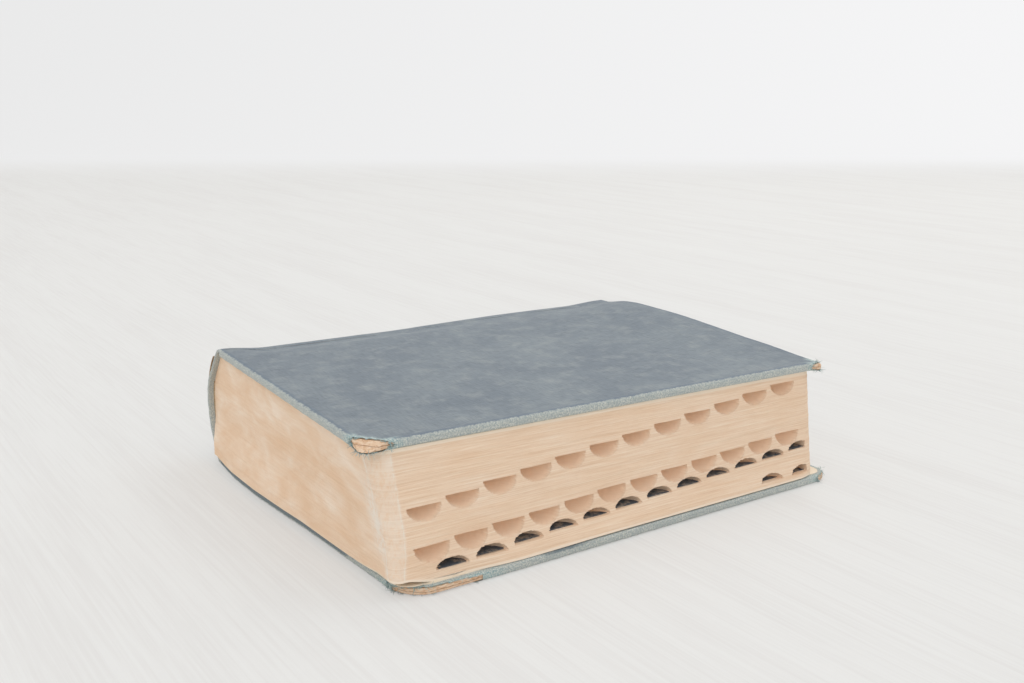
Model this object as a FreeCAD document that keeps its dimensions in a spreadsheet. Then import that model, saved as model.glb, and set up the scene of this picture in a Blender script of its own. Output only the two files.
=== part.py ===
import FreeCAD, Part
import math
import os
from FreeCAD import Matrix, Placement, Rotation, Vector

# An old cloth-covered, thumb-indexed hardback book, lying on its back cover.
# World axes: spine towards -X, fore edge +X, tail -Y, head +Y, +Z up, z = 0 under the back cover.
# Book axes used below: across (from the joints to the fore edge), along (tail to head), height.
# The book has slumped: each leaf is slid towards the spine, and turned, in step with its height.

DRIVING_SIZES = {
    "cover_height": 250.0,         # tail edge to head edge of a board
    "cover_reach": 169.4,          # book axis origin to the fore edge of a board
    "board_setback": 11.0,         # spine edge of a board, behind the book axis origin
    "board_thickness": 2.8,
    "cloth_thickness": 0.5,
    "turn_in_width": 15.0,         # cloth folded over on to the inside of a board
    "pastedown_sheet": 0.3,
    "pastedown_margin": 3.0,       # board edge to pastedown edge
    "book_thickness": 61.3,
    "slump_across": -18.2,         # how far the front cover has slid over the back cover
    "slump_along": 3.3,
    "slump_turn": 2.8,             # degrees that the front cover has turned
    "tail_square": 3.0,            # overhang of the boards beyond the leaves
    "head_square": 5.0,            # at half the book's thickness
    "head_taper": 4.0,             # the back leaves lie this much further in than the front ones
    "fore_square": 2.4,
    "page_corner": 8.5,            # rounded corners of the leaves
    "flyleaf_thickness": 0.3,
    "front_tail_corner": 6.0,      # worn round fore corners of the boards
    "front_head_corner": 4.0,
    "back_tail_corner": 18.0,
    "back_head_corner": 9.0,
    "facet_across": 13.4,          # slanting facet worn on the front board's tail corner
    "facet_along": 11.5,
    "facet_slope": 33.0,
    "shoulder_setback": 17.64,     # spine arc starts this far behind the axis origin at the top
    "foot_setback": 30.62,         # and ends here at the bottom
    "spine_bulge": 15.13,          # height of the arc over the line between them
    "shoulder_round": 5.0,
    "foot_round": 3.0,
    "inlay_thickness": 0.5,
    "lining_thickness": 0.4,
    "spine_clearance": 0.05,       # between the curved layers of the spine
    "spine_turn_in": 15.0,
    "inlay_margin": 5.2,           # stiff part of the spine, from the outer faces of the book
    "shoulder_flat": 3.64,         # flat cloth between the folds and the ends of the spine's arc
    "foot_flat": 4.62,
    "joint_gap": 0.3,              # between cover cloth and spine cloth at the folds
    "cut_tail_margin": 9.9,        # end of the leaves to the first and the last thumb cut
    "cut_head_margin": 13.1,
    "cut_width": 15.5,
    "cut_depth": 9.0,
    "upper_first": 33.5,           # ceiling heights of the upper row, tail and head ends
    "upper_last": 53.5,
    "upper_scoop": 6.0,
    "middle_first": 18.0,
    "middle_last": 28.6,
    "middle_scoop": 6.6,
    "lower_first": 8.0,            # floor heights of the lower row
    "lower_last": 19.0,
    "lower_scoop": 3.6,
    "lower_offset": 7.9,           # lower row starts this much nearer the head
    "lower_width": 14.5,
    "foot_cut_pitch": 21.5,        # the last two cuts, below the lower row
    "foot_cut_margin": 7.0,        # from the second one to the head end of the leaves
    "foot_cut_height": 7.0,
    "tab_thickness": 0.2,
    "tab_margin": 0.8,
}
CUTS_IN_ROW = 12
CUTS_AT_FOOT = 2
LEAF_SECTIONS = 7


def make_sheet(doc):
    """Writes the driving sizes into a spreadsheet, one alias a row."""
    sheet = doc.addObject("Spreadsheet::Sheet", "Sizes")
    for row, (name, value) in enumerate(DRIVING_SIZES.items(), start=1):
        sheet.set(f"A{row}", name)
        sheet.set(f"B{row}", str(value))
        sheet.setAlias(f"B{row}", name)
    doc.recompute()
    return sheet


class Sizes:
    """The sheet's values, and the few that follow from them."""

    def __init__(self, sheet):
        for name in DRIVING_SIZES:
            setattr(self, name, float(sheet.get(name)))
        self.turn = math.radians(self.slump_turn)
        self.board_width = self.cover_reach + self.board_setback
        self.cased_board = self.board_thickness + 2 * self.cloth_thickness
        self.cover_thickness = self.cased_board + self.pastedown_sheet
        self.leaves_low = self.cover_thickness + self.flyleaf_thickness
        self.leaves_high = self.book_thickness - self.leaves_low
        self.leaf_reach = self.cover_reach - self.fore_square
        self.leaf_head = self.cover_height - self.head_square
        self.set_spine_arc()
        self.inlay_outer = self.cloth_thickness + self.spine_clearance
        self.inlay_inner = self.inlay_outer + self.inlay_thickness
        self.spine_lip = self.inlay_inner + self.spine_clearance
        self.lining_outer = self.spine_lip + self.cloth_thickness + self.spine_clearance
        self.lining_inner = self.lining_outer + self.lining_thickness
        self.leaf_spine_radius = self.spine_radius - self.lining_inner - self.spine_clearance
        self.front_fold = self.shoulder_setback - self.shoulder_flat
        self.back_fold = self.foot_setback - self.foot_flat
        self.inlay_low = self.inlay_margin
        self.inlay_high = self.book_thickness - self.inlay_margin
        self.cut_first = self.tail_square + self.cut_tail_margin
        cut_run = self.leaf_head - self.cut_head_margin - self.cut_width - self.cut_first
        self.cut_pitch = cut_run / (CUTS_IN_ROW - 1)
        self.origin = self.footprint_centre()

    def set_spine_arc(self):
        """Radius and centre of the arc that the spine's section follows."""
        lean = self.foot_setback - self.shoulder_setback
        chord = math.hypot(lean, self.book_thickness)
        self.spine_radius = (chord ** 2 / 4 + self.spine_bulge ** 2) / (2 * self.spine_bulge)
        depth = self.spine_radius - self.spine_bulge
        middle = (self.foot_setback + self.shoulder_setback) / 2
        self.spine_centre_across = depth * self.book_thickness / chord - middle
        self.spine_centre_height = self.book_thickness / 2 - depth * lean / chord

    def footprint_centre(self):
        """Centre of the whole book's footprint, before it is moved to the origin."""
        lean = self.slump_across / self.book_thickness
        spine_end = (self.spine_centre_across + lean * self.spine_centre_height
                     - self.spine_radius * math.hypot(1, lean))
        corner_across = self.cover_reach - self.front_tail_corner
        tail_end = (self.slump_along - corner_across * math.sin(self.turn)
                    - self.front_tail_corner * (1 - math.cos(self.turn)))
        head_end = self.slump_along + slide_along(self, self.cover_height) + self.cover_height
        return Vector((spine_end + self.cover_reach) / 2, (tail_end + head_end) / 2, 0)


def slide_along(sizes, along):
    """How far the slump's turn slides the top of the spine along the book, at this place."""
    middle = sizes.spine_centre_across - sizes.spine_radius / 2
    return -middle * math.sin(sizes.turn) - along * (1 - math.cos(sizes.turn))


def slump_placement(sizes, height):
    """Where a flat layer at this height lies in the slumped book."""
    share = height / sizes.book_thickness
    base = Vector(sizes.slump_across * share, sizes.slump_along * share, 0) - sizes.origin
    return Placement(base, Rotation(Vector(0, 0, 1), -sizes.slump_turn * share))


def slump_matrix(sizes, along):
    """Shear that slumps an upright section of the spine, cut at this distance from the tail."""
    slide_x = sizes.slump_across + along * math.sin(sizes.turn)
    slide_y = sizes.slump_along + slide_along(sizes, along)
    matrix = Matrix()
    matrix.A13 = slide_x / sizes.book_thickness
    matrix.A23 = slide_y / sizes.book_thickness
    matrix.A14 = -sizes.origin.x
    matrix.A24 = along - sizes.origin.y
    return matrix


def add_shape(doc, name, shape):
    """Adds a finished shape as an object of the document."""
    obj = doc.addObject("Part::Feature", name)
    obj.Shape = shape
    obj.Label = name
    return obj


def spine_point(sizes, inset, angle):
    """A point of the spine's main arc; the angle is taken from the spine direction, upwards."""
    radius = sizes.spine_radius - inset
    return Vector(sizes.spine_centre_across - radius * math.cos(angle), 0,
                  sizes.spine_centre_height + radius * math.sin(angle))


def spine_arc(sizes, inset, angle_a, angle_b):
    """Edge along the spine's main arc, from one angle to the other."""
    middle = spine_point(sizes, inset, (angle_a + angle_b) / 2)
    return Part.Arc(spine_point(sizes, inset, angle_a), middle,
                    spine_point(sizes, inset, angle_b)).toShape()


def height_angle(sizes, height):
    """Angle of the outer arc's point at this height."""
    return math.asin((height - sizes.spine_centre_height) / sizes.spine_radius)


def rolled_corner(sizes, inset, rounding, level):
    """Corner between the main arc and a flat joint at this level: on the flat, middle, on the arc."""
    side = 1 if level > sizes.spine_centre_height else -1
    rise = side * (level - sizes.spine_centre_height) - rounding
    run = math.sqrt((sizes.spine_radius - rounding) ** 2 - rise ** 2)
    centre = Vector(sizes.spine_centre_across - run, 0, level - side * rounding)
    radius = rounding - inset
    arc_angle = math.atan2(rise, run)
    half_angle = (arc_angle + math.pi / 2) / 2

    def at(angle):
        return centre + Vector(-radius * math.cos(angle), 0, side * radius * math.sin(angle))

    return at(math.pi / 2), at(half_angle), at(arc_angle), side * arc_angle


def case_side(sizes, inset):
    """Edges of the spine cloth's section at one side, from the front joint to the back joint."""
    top = sizes.book_thickness
    front_end = -sizes.front_fold - sizes.joint_gap
    back_end = -sizes.back_fold - sizes.joint_gap
    top_flat, top_mid, top_arc, top_angle = rolled_corner(sizes, inset, sizes.shoulder_round, top)
    low_flat, low_mid, low_arc, low_angle = rolled_corner(sizes, inset, sizes.foot_round, 0.0)
    start = Vector(front_end, 0, top - inset)
    end = Vector(back_end, 0, inset)
    edges = [Part.LineSegment(start, top_flat).toShape(),
             Part.Arc(top_flat, top_mid, top_arc).toShape(),
             spine_arc(sizes, inset, top_angle, low_angle),
             Part.Arc(low_arc, low_mid, low_flat).toShape(),
             Part.LineSegment(low_flat, end).toShape()]
    return edges, start, end


def case_section(sizes):
    """Closed section of the spine cloth with its two flat joints."""
    outer, outer_start, outer_end = case_side(sizes, 0.0)
    inner, inner_start, inner_end = case_side(sizes, sizes.cloth_thickness)
    closing = [Part.LineSegment(outer_end, inner_end).toShape(),
               Part.LineSegment(outer_start, inner_start).toShape()]
    return Part.Wire(Part.__sortEdges__(outer + inner + closing))


def arc_section(sizes, outer, inner, low, high):
    """Closed section of a curved layer of the spine, between two insets and two heights."""
    low_angle = height_angle(sizes, low)
    high_angle = height_angle(sizes, high)
    edges = [spine_arc(sizes, outer, low_angle, high_angle),
             spine_arc(sizes, inner, low_angle, high_angle)]
    for angle in (low_angle, high_angle):
        edges.append(Part.LineSegment(spine_point(sizes, outer, angle),
                                      spine_point(sizes, inner, angle)).toShape())
    return Part.Wire(Part.__sortEdges__(edges))


def slumped_loft(sizes, section, start, end):
    """Solid that follows a section of the spine from one place along the book to another."""
    wires = [section.transformGeometry(slump_matrix(sizes, along)).Wires[0]
             for along in (start, end)]
    return Part.makeLoft(wires, True, True)


def spine_cloth(doc, sizes):
    """Cover cloth round the spine, turned in over the inlay at the tail and head."""
    shape = slumped_loft(sizes, case_section(sizes), 0.0, sizes.cover_height)
    half_cloth = sizes.cloth_thickness / 2
    fold = arc_section(sizes, half_cloth, sizes.spine_lip + sizes.cloth_thickness,
                       sizes.inlay_low, sizes.inlay_high)
    overrun = 1.0
    slot = arc_section(sizes, sizes.cloth_thickness - half_cloth / 2, sizes.spine_lip,
                       sizes.inlay_low - overrun, sizes.inlay_high + overrun)
    head = sizes.cover_height
    turn_ins = [(0.0, sizes.spine_turn_in, sizes.cloth_thickness, sizes.spine_turn_in + overrun),
                (head - sizes.spine_turn_in, head, head - sizes.spine_turn_in - overrun,
                 head - sizes.cloth_thickness)]
    for start, end, slot_start, slot_end in turn_ins:
        turned = slumped_loft(sizes, fold, start, end)
        turned = turned.cut(slumped_loft(sizes, slot, slot_start, slot_end))
        shape = shape.fuse(turned)
    return add_shape(doc, "spine_cloth", shape.Solids[0] if len(shape.Solids) == 1 else shape)


def spine_inlay(doc, sizes):
    """Card that stiffens the spine, between the cloth and its turn-ins."""
    section = arc_section(sizes, sizes.inlay_outer, sizes.inlay_inner,
                          sizes.inlay_low, sizes.inlay_high)
    clear_end = sizes.cloth_thickness + sizes.spine_clearance
    return add_shape(doc, "spine_inlay",
                     slumped_loft(sizes, section, clear_end, sizes.cover_height - clear_end))


def spine_lining(doc, sizes):
    """Open-weave cloth and paper glued over the backs of the sections."""
    section = arc_section(sizes, sizes.lining_outer, sizes.lining_inner,
                          sizes.inlay_low, sizes.inlay_high)
    inset = sizes.tail_square
    return add_shape(doc, "spine_lining",
                     slumped_loft(sizes, section, inset, sizes.leaf_head))


def leaf_spine_edge(sizes, height):
    """Spine edge of the leaf at this height, across the book."""
    rise = height - sizes.spine_centre_height
    return sizes.spine_centre_across - math.sqrt(sizes.leaf_spine_radius ** 2 - rise ** 2)


def leaf_outline(sizes, height):
    """Outline of the leaf at this height, with its two rounded corners, where it lies."""
    back = leaf_spine_edge(sizes, height)
    fore, tail, round_by = sizes.leaf_reach, sizes.tail_square, sizes.page_corner
    head = sizes.leaf_head + sizes.head_taper * (height / sizes.book_thickness - 0.5)
    diagonal = round_by * (1 - math.sqrt(0.5))
    edges = [
        Part.LineSegment(Vector(back, tail, 0), Vector(fore - round_by, tail, 0)),
        Part.Arc(Vector(fore - round_by, tail, 0), Vector(fore - diagonal, tail + diagonal, 0),
                 Vector(fore, tail + round_by, 0)),
        Part.LineSegment(Vector(fore, tail + round_by, 0), Vector(fore, head - round_by, 0)),
        Part.Arc(Vector(fore, head - round_by, 0), Vector(fore - diagonal, head - diagonal, 0),
                 Vector(fore - round_by, head, 0)),
        Part.LineSegment(Vector(fore - round_by, head, 0), Vector(back, head, 0)),
        Part.LineSegment(Vector(back, head, 0), Vector(back, tail, 0)),
    ]
    wire = Part.Wire([edge.toShape() for edge in edges])
    placement = slump_placement(sizes, height)
    placement.Base.z = height
    wire.Placement = placement
    return wire


def leaf_block(doc, sizes):
    """All the leaves as one slumped, round-backed block, before the thumb cuts."""
    step = (sizes.leaves_high - sizes.leaves_low) / (LEAF_SECTIONS - 1)
    wires = [leaf_outline(sizes, sizes.leaves_low + step * index) for index in range(LEAF_SECTIONS)]
    return add_shape(doc, "leaf_block", Part.makeLoft(wires, True, False))


def cut_rows(sizes):
    """Every thumb cut: (row, place along the book, height of its flat, width)."""
    last = CUTS_IN_ROW - 1
    cuts = []
    for index in range(CUTS_IN_ROW):
        along = sizes.cut_first + index * sizes.cut_pitch + sizes.cut_width / 2
        share = index / last
        cuts.append(("upper", along, sizes.upper_first + share * (sizes.upper_last - sizes.upper_first)))
        cuts.append(("middle", along, sizes.middle_first + share * (sizes.middle_last - sizes.middle_first)))
        lower_along = (sizes.cut_first + sizes.lower_offset + index * sizes.cut_pitch
                       + sizes.lower_width / 2)
        lower_floor = sizes.lower_first + share * (sizes.lower_last - sizes.lower_first)
        cuts.append(("lower", lower_along, lower_floor))
    last_along = sizes.leaf_head - sizes.foot_cut_margin - sizes.lower_width / 2
    for index in range(CUTS_AT_FOOT):
        cuts.append(("foot", last_along - index * sizes.foot_cut_pitch, sizes.foot_cut_height))
    return cuts


def scoop_row_sizes(row):
    """Aliases of a row's scoop height and width, and whether the scoop hangs from its flat."""
    return {"upper": ("upper_scoop", "cut_width", True),
            "middle": ("middle_scoop", "cut_width", True),
            "lower": ("lower_scoop", "lower_width", False),
            "foot": ("lower_scoop", "lower_width", False)}[row]


def cut_placement(sizes, along, height):
    """Middle of a thumb cut's flat, on the fore edge of the leaf at this height."""
    placement = slump_placement(sizes, height)
    base = placement.multVec(Vector(sizes.leaf_reach, along, height))
    return Placement(base, placement.Rotation)


def thumb_scoops(doc, sizes):
    """Half ellipsoids that cut the thumb index into the fore edge."""
    scoops = []
    for number, (row, along, height) in enumerate(cut_rows(sizes), start=1):
        rise, width, hangs = scoop_row_sizes(row)
        scoop = doc.addObject("Part::Ellipsoid", f"scoop_{row}_{number}")
        scoop.setExpression("Radius1", f"Sizes.{rise}")
        scoop.setExpression("Radius2", "Sizes.cut_depth")
        scoop.setExpression("Radius3", f"Sizes.{width} / 2")
        scoop.Angle1 = -90 if hangs else 0
        scoop.Angle2 = 0 if hangs else 90
        scoop.Placement = cut_placement(sizes, along, height)
        scoops.append(scoop)
    return scoops


def text_block(doc, sizes):
    """The leaves with their thumb index."""
    tools = doc.addObject("Part::Compound", "thumb_index")
    tools.Links = thumb_scoops(doc, sizes)
    block = doc.addObject("Part::Cut", "text_block")
    block.Base = leaf_block(doc, sizes)
    block.Tool = tools
    block.Label = "text_block"
    return block


def letter_tabs(doc, sizes):
    """Dark paper tabs, one on the floor of each cut that opens upwards."""
    tabs = []
    half_width = sizes.lower_width / 2 - sizes.tab_margin
    depth = sizes.cut_depth - sizes.tab_margin
    for row, along, height in cut_rows(sizes):
        if row not in ("lower", "foot"):
            continue
        flat = [Vector(-sizes.tab_margin, -half_width, 0), Vector(-sizes.tab_margin, half_width, 0)]
        bow = Part.Arc(flat[0], Vector(-depth, 0, 0), flat[1]).toShape()
        outline = Part.Wire([bow, Part.LineSegment(flat[1], flat[0]).toShape()])
        tab = Part.Face(outline).extrude(Vector(0, 0, sizes.tab_thickness))
        tab.Placement = cut_placement(sizes, along, height)
        tabs.append(tab)
    return add_shape(doc, "letter_tabs", Part.makeCompound(tabs))


def flyleaf(doc, sizes, name, height):
    """A loose endpaper beside the leaves, lying at this height."""
    outline = add_shape(doc, name + "_outline", leaf_outline(sizes, height))
    leaf = doc.addObject("Part::Extrusion", name)
    leaf.Base = outline
    leaf.DirMode = "Custom"
    leaf.Dir = Vector(0, 0, 1)
    leaf.setExpression("LengthFwd", "Sizes.flyleaf_thickness")
    leaf.Solid = True
    leaf.Label = name
    return leaf


def origin_plane(body, role):
    """One of a body's own origin planes."""
    return next(item for item in body.Origin.OriginFeatures if item.Role == role)


def outline_sketch(body, sizes, name, inset, tail_corner, head_corner, spine_end):
    """Sketch of a cover's outline: square at the spine, round at the two fore corners."""
    sketch = body.newObject("Sketcher::SketchObject", name)
    sketch.AttachmentSupport = [(origin_plane(body, "XY_Plane"), "")]
    sketch.MapMode = "FlatFace"
    fore = sizes.cover_reach - inset
    tail = inset
    head = sizes.cover_height - inset
    low = tail_corner - inset
    high = head_corner - inset
    quarter = math.pi / 2
    z = Vector(0, 0, 1)
    sketch.addGeometry(Part.LineSegment(Vector(spine_end, tail, 0), Vector(fore - low, tail, 0)))
    sketch.addGeometry(Part.ArcOfCircle(Part.Circle(Vector(fore - low, tail + low, 0), z, low),
                                        -quarter, 0))
    sketch.addGeometry(Part.LineSegment(Vector(fore, tail + low, 0), Vector(fore, head - high, 0)))
    sketch.addGeometry(Part.ArcOfCircle(Part.Circle(Vector(fore - high, head - high, 0), z, high),
                                        0, quarter))
    sketch.addGeometry(Part.LineSegment(Vector(fore - high, head, 0), Vector(spine_end, head, 0)))
    sketch.addGeometry(Part.LineSegment(Vector(spine_end, head, 0), Vector(spine_end, tail, 0)))
    return sketch


def padded_outline(doc, sizes, name, placement, inset, corners, spine_end, thickness):
    """Body: a flat sheet with the cover's outline, drawn in by an inset."""
    body = doc.addObject("PartDesign::Body", name)
    sketch = outline_sketch(body, sizes, name + "_outline", inset, corners[0], corners[1], spine_end)
    pad = body.newObject("PartDesign::Pad", name + "_pad")
    pad.Profile = sketch
    pad.setExpression("Length", thickness)
    body.Placement = placement
    body.Label = name
    return body


def level(sizes, front, inner, thickness):
    """Placement of a cover's layer that starts this deep under the outer face."""
    placement = slump_placement(sizes, sizes.book_thickness if front else 0.0)
    placement.Base.z = sizes.book_thickness - inner - thickness if front else inner
    return placement


def cover_board(doc, sizes, side, front, corners):
    """Pasteboard of one cover."""
    return padded_outline(doc, sizes, f"{side}_board" + ("_blank" if front else ""),
                          level(sizes, front, sizes.cloth_thickness, sizes.board_thickness),
                          sizes.cloth_thickness, corners, -sizes.board_setback,
                          "Sizes.board_thickness")


def sheet_box(doc, name, placement, corner, lengths):
    """Flat box with one corner given in the placement's own axes."""
    box = doc.addObject("Part::Box", name)
    for axis, expression in zip(("Length", "Width", "Height"), lengths):
        box.setExpression(axis, expression)
    box.Placement = placement.multiply(Placement(corner, Rotation()))
    return box


def rim_cutter(doc, sizes, name, placement, corner, at_head):
    """Tool that leaves the edge of a board bare round one corner, where the cloth is rubbed away."""
    corner_round = getattr(sizes, corner)
    across = sizes.cover_reach - corner_round
    along = sizes.cover_height - corner_round if at_head else corner_round
    block_corner = Vector(across, along if at_head else along - corner_round, 0)
    size = "Sizes." + corner
    thickness = "Sizes.board_thickness + 2 * Sizes.cloth_thickness"
    block = sheet_box(doc, name + "_block", placement, block_corner, (size, size, thickness))
    core = doc.addObject("Part::Cylinder", name + "_core")
    core.setExpression("Radius", size + " - Sizes.cloth_thickness")
    core.setExpression("Height", thickness)
    core.Placement = placement.multiply(Placement(Vector(across, along, 0), Rotation()))
    rim = doc.addObject("Part::Cut", name)
    rim.Base = block
    rim.Tool = core
    return rim


def facet_cutter(doc, sizes, name, placement):
    """Tool that wears a slanting facet on a board's tail corner, down from its outer face."""
    reach = 2 * (sizes.facet_across + sizes.facet_along)
    size = "2 * (Sizes.facet_across + Sizes.facet_along)"
    heading = math.degrees(math.atan2(-sizes.facet_along, -sizes.facet_across))
    middle = Vector(sizes.cover_reach - sizes.facet_across / 2, sizes.facet_along / 2,
                    sizes.cased_board)
    turn = Rotation(Vector(0, 0, 1), heading) * Rotation(Vector(1, 0, 0), -sizes.facet_slope)
    tool = doc.addObject("Part::Box", name)
    tool.setExpression("Length", size)
    tool.setExpression("Width", size)
    tool.setExpression("Height", "Sizes.board_thickness + 2 * Sizes.cloth_thickness")
    centred = Placement(middle, turn).multiply(Placement(Vector(-reach / 2, 0, 0), Rotation()))
    tool.Placement = placement.multiply(centred)
    return tool


def cut_by(doc, name, base, tool):
    """One object cut by another."""
    cut = doc.addObject("Part::Cut", name)
    cut.Base = base
    cut.Tool = tool
    cut.Label = name
    return cut


def cover_cloth(doc, sizes, side, front, corners, board, wear, lap):
    """Cloth of one cover: outer face, edges and turn-ins, with the lap that reaches the fold."""
    blank = padded_outline(doc, sizes, f"{side}_blank", level(sizes, front, 0.0, sizes.cased_board),
                           0.0, corners, -sizes.board_setback,
                           "Sizes.board_thickness + 2 * Sizes.cloth_thickness")
    cloth = sizes.cloth_thickness
    window = sheet_box(doc, f"{side}_window", level(sizes, front, sizes.cased_board - cloth, 2 * cloth),
                       Vector(-sizes.board_setback - 1.0, sizes.turn_in_width, 0),
                       ("Sizes.cover_reach + Sizes.board_setback + 1 - Sizes.turn_in_width",
                        "Sizes.cover_height - 2 * Sizes.turn_in_width",
                        "2 * Sizes.cloth_thickness"))
    openings = doc.addObject("Part::Compound", f"{side}_cloth_openings")
    openings.Links = [window] + wear
    emptied = cut_by(doc, f"{side}_wrap", blank, board)
    trimmed = cut_by(doc, f"{side}_trimmed", emptied, openings)
    strip_end = -(sizes.front_fold if front else sizes.back_fold)
    strip = sheet_box(doc, f"{side}_lap", level(sizes, front, 0.0, cloth), Vector(strip_end, 0, 0),
                      (lap + " - Sizes.board_setback", "Sizes.cover_height", "Sizes.cloth_thickness"))
    joined = doc.addObject("Part::Fuse", f"{side}_cover_cloth")
    joined.Base = trimmed
    joined.Tool = strip
    joined.Label = f"{side}_cover_cloth"
    return joined


def pastedown(doc, sizes, side, front, corners):
    """Endpaper glued inside a cover, with the filling that levels it with the turn-ins."""
    cloth = sizes.cloth_thickness
    clear = sizes.spine_clearance
    filling = sheet_box(doc, f"{side}_filling", level(sizes, front, sizes.cased_board - cloth, cloth),
                        Vector(-sizes.board_setback, sizes.turn_in_width + clear, 0),
                        ("Sizes.cover_reach + Sizes.board_setback - Sizes.turn_in_width"
                         " - Sizes.spine_clearance",
                         "Sizes.cover_height - 2 * Sizes.turn_in_width - 2 * Sizes.spine_clearance",
                         "Sizes.cloth_thickness"))
    sheet = padded_outline(doc, sizes, f"{side}_sheet",
                           level(sizes, front, sizes.cased_board, sizes.pastedown_sheet),
                           sizes.pastedown_margin, corners, -sizes.board_setback,
                           "Sizes.pastedown_sheet")
    paper = doc.addObject("Part::Fuse", f"{side}_pastedown")
    paper.Base = filling
    paper.Tool = sheet
    paper.Label = f"{side}_pastedown"
    return paper


def back_cover(doc, sizes):
    """The pieces of the back cover, which the book lies on."""
    corners = (sizes.back_tail_corner, sizes.back_head_corner)
    case = level(sizes, False, 0.0, sizes.cased_board)
    board = cover_board(doc, sizes, "back", False, corners)
    wear = [rim_cutter(doc, sizes, "back_tail_wear", case, "back_tail_corner", False),
            rim_cutter(doc, sizes, "back_head_wear", case, "back_head_corner", True)]
    doc.recompute()
    cloth = cover_cloth(doc, sizes, "back", False, corners, board, wear,
                        "Sizes.foot_setback - Sizes.foot_flat")
    return [board, cloth, pastedown(doc, sizes, "back", False, corners)]


def front_cover(doc, sizes):
    """The pieces of the front cover, whose tail corner is worn to a facet."""
    corners = (sizes.front_tail_corner, sizes.front_head_corner)
    case = level(sizes, True, 0.0, sizes.cased_board)
    facet = facet_cutter(doc, sizes, "front_facet", case)
    board = cut_by(doc, "front_board", cover_board(doc, sizes, "front", True, corners), facet)
    wear = [facet, rim_cutter(doc, sizes, "front_head_wear", case, "front_head_corner", True)]
    doc.recompute()
    cloth = cover_cloth(doc, sizes, "front", True, corners, board, wear,
                        "Sizes.shoulder_setback - Sizes.shoulder_flat")
    return [board, cloth, pastedown(doc, sizes, "front", True, corners)]


def check(doc, nodes):
    """Stops if an object failed or a piece is not a sound solid."""
    for obj in doc.Objects:
        if "Invalid" in obj.State or "Error" in obj.State:
            raise RuntimeError(f"{obj.Name} failed: {obj.State}")
    for node in nodes:
        shape = node.Shape
        if shape.isNull() or not shape.isValid() or not shape.Solids:
            raise RuntimeError(f"{node.Label} has no sound shape")


def main():
    """Builds the book and writes one STEP file a piece."""
    doc = FreeCAD.newDocument("hardback_book")
    sizes = Sizes(make_sheet(doc))
    nodes = [
        text_block(doc, sizes),
        flyleaf(doc, sizes, "front_flyleaf", sizes.leaves_high),
        flyleaf(doc, sizes, "back_flyleaf", sizes.cover_thickness),
        letter_tabs(doc, sizes),
        spine_lining(doc, sizes),
        spine_inlay(doc, sizes),
        spine_cloth(doc, sizes),
    ]
    nodes += front_cover(doc, sizes) + back_cover(doc, sizes)
    doc.recompute()
    check(doc, nodes)
    os.makedirs("parts", exist_ok=True)
    box = FreeCAD.BoundBox()
    for node in nodes:
        node.Shape.exportStep(f"parts/{node.Label}.step")
        box.add(node.Shape.BoundBox)
        print(f"{node.Label}: {len(node.Shape.Solids)} solid(s), {node.Shape.Volume:.0f} mm3")
    print("box", [round(value, 3) for value in (box.XMin, box.YMin, box.ZMin, box.XMax, box.YMax, box.ZMax)])
    print("origin shift", sizes.origin)


main()
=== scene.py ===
import logging
import math
from dataclasses import dataclass, field
from enum import Enum
from typing import Iterable, Optional, Sequence

import bmesh
import bpy
import numpy as np
from mathutils import Matrix, Vector


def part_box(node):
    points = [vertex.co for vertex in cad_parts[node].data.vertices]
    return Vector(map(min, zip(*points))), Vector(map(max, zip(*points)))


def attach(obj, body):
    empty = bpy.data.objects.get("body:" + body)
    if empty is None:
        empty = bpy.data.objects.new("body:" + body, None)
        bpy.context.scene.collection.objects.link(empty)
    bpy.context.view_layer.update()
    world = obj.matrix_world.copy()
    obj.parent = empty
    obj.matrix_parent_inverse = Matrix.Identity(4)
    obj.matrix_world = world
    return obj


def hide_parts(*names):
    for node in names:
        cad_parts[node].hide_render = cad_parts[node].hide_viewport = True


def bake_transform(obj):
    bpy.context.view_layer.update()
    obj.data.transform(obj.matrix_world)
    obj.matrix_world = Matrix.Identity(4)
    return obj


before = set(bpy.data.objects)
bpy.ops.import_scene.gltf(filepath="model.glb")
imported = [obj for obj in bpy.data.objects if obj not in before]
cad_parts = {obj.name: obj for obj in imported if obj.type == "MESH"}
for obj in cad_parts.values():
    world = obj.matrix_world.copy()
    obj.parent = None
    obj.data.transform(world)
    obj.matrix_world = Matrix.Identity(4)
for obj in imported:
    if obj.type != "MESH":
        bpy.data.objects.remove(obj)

log = logging.getLogger("book")
MM = 0.001
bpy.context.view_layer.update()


class Side(Enum):
    """The two covers of the book."""

    FRONT = "front"
    BACK = "back"


# Shape


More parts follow.
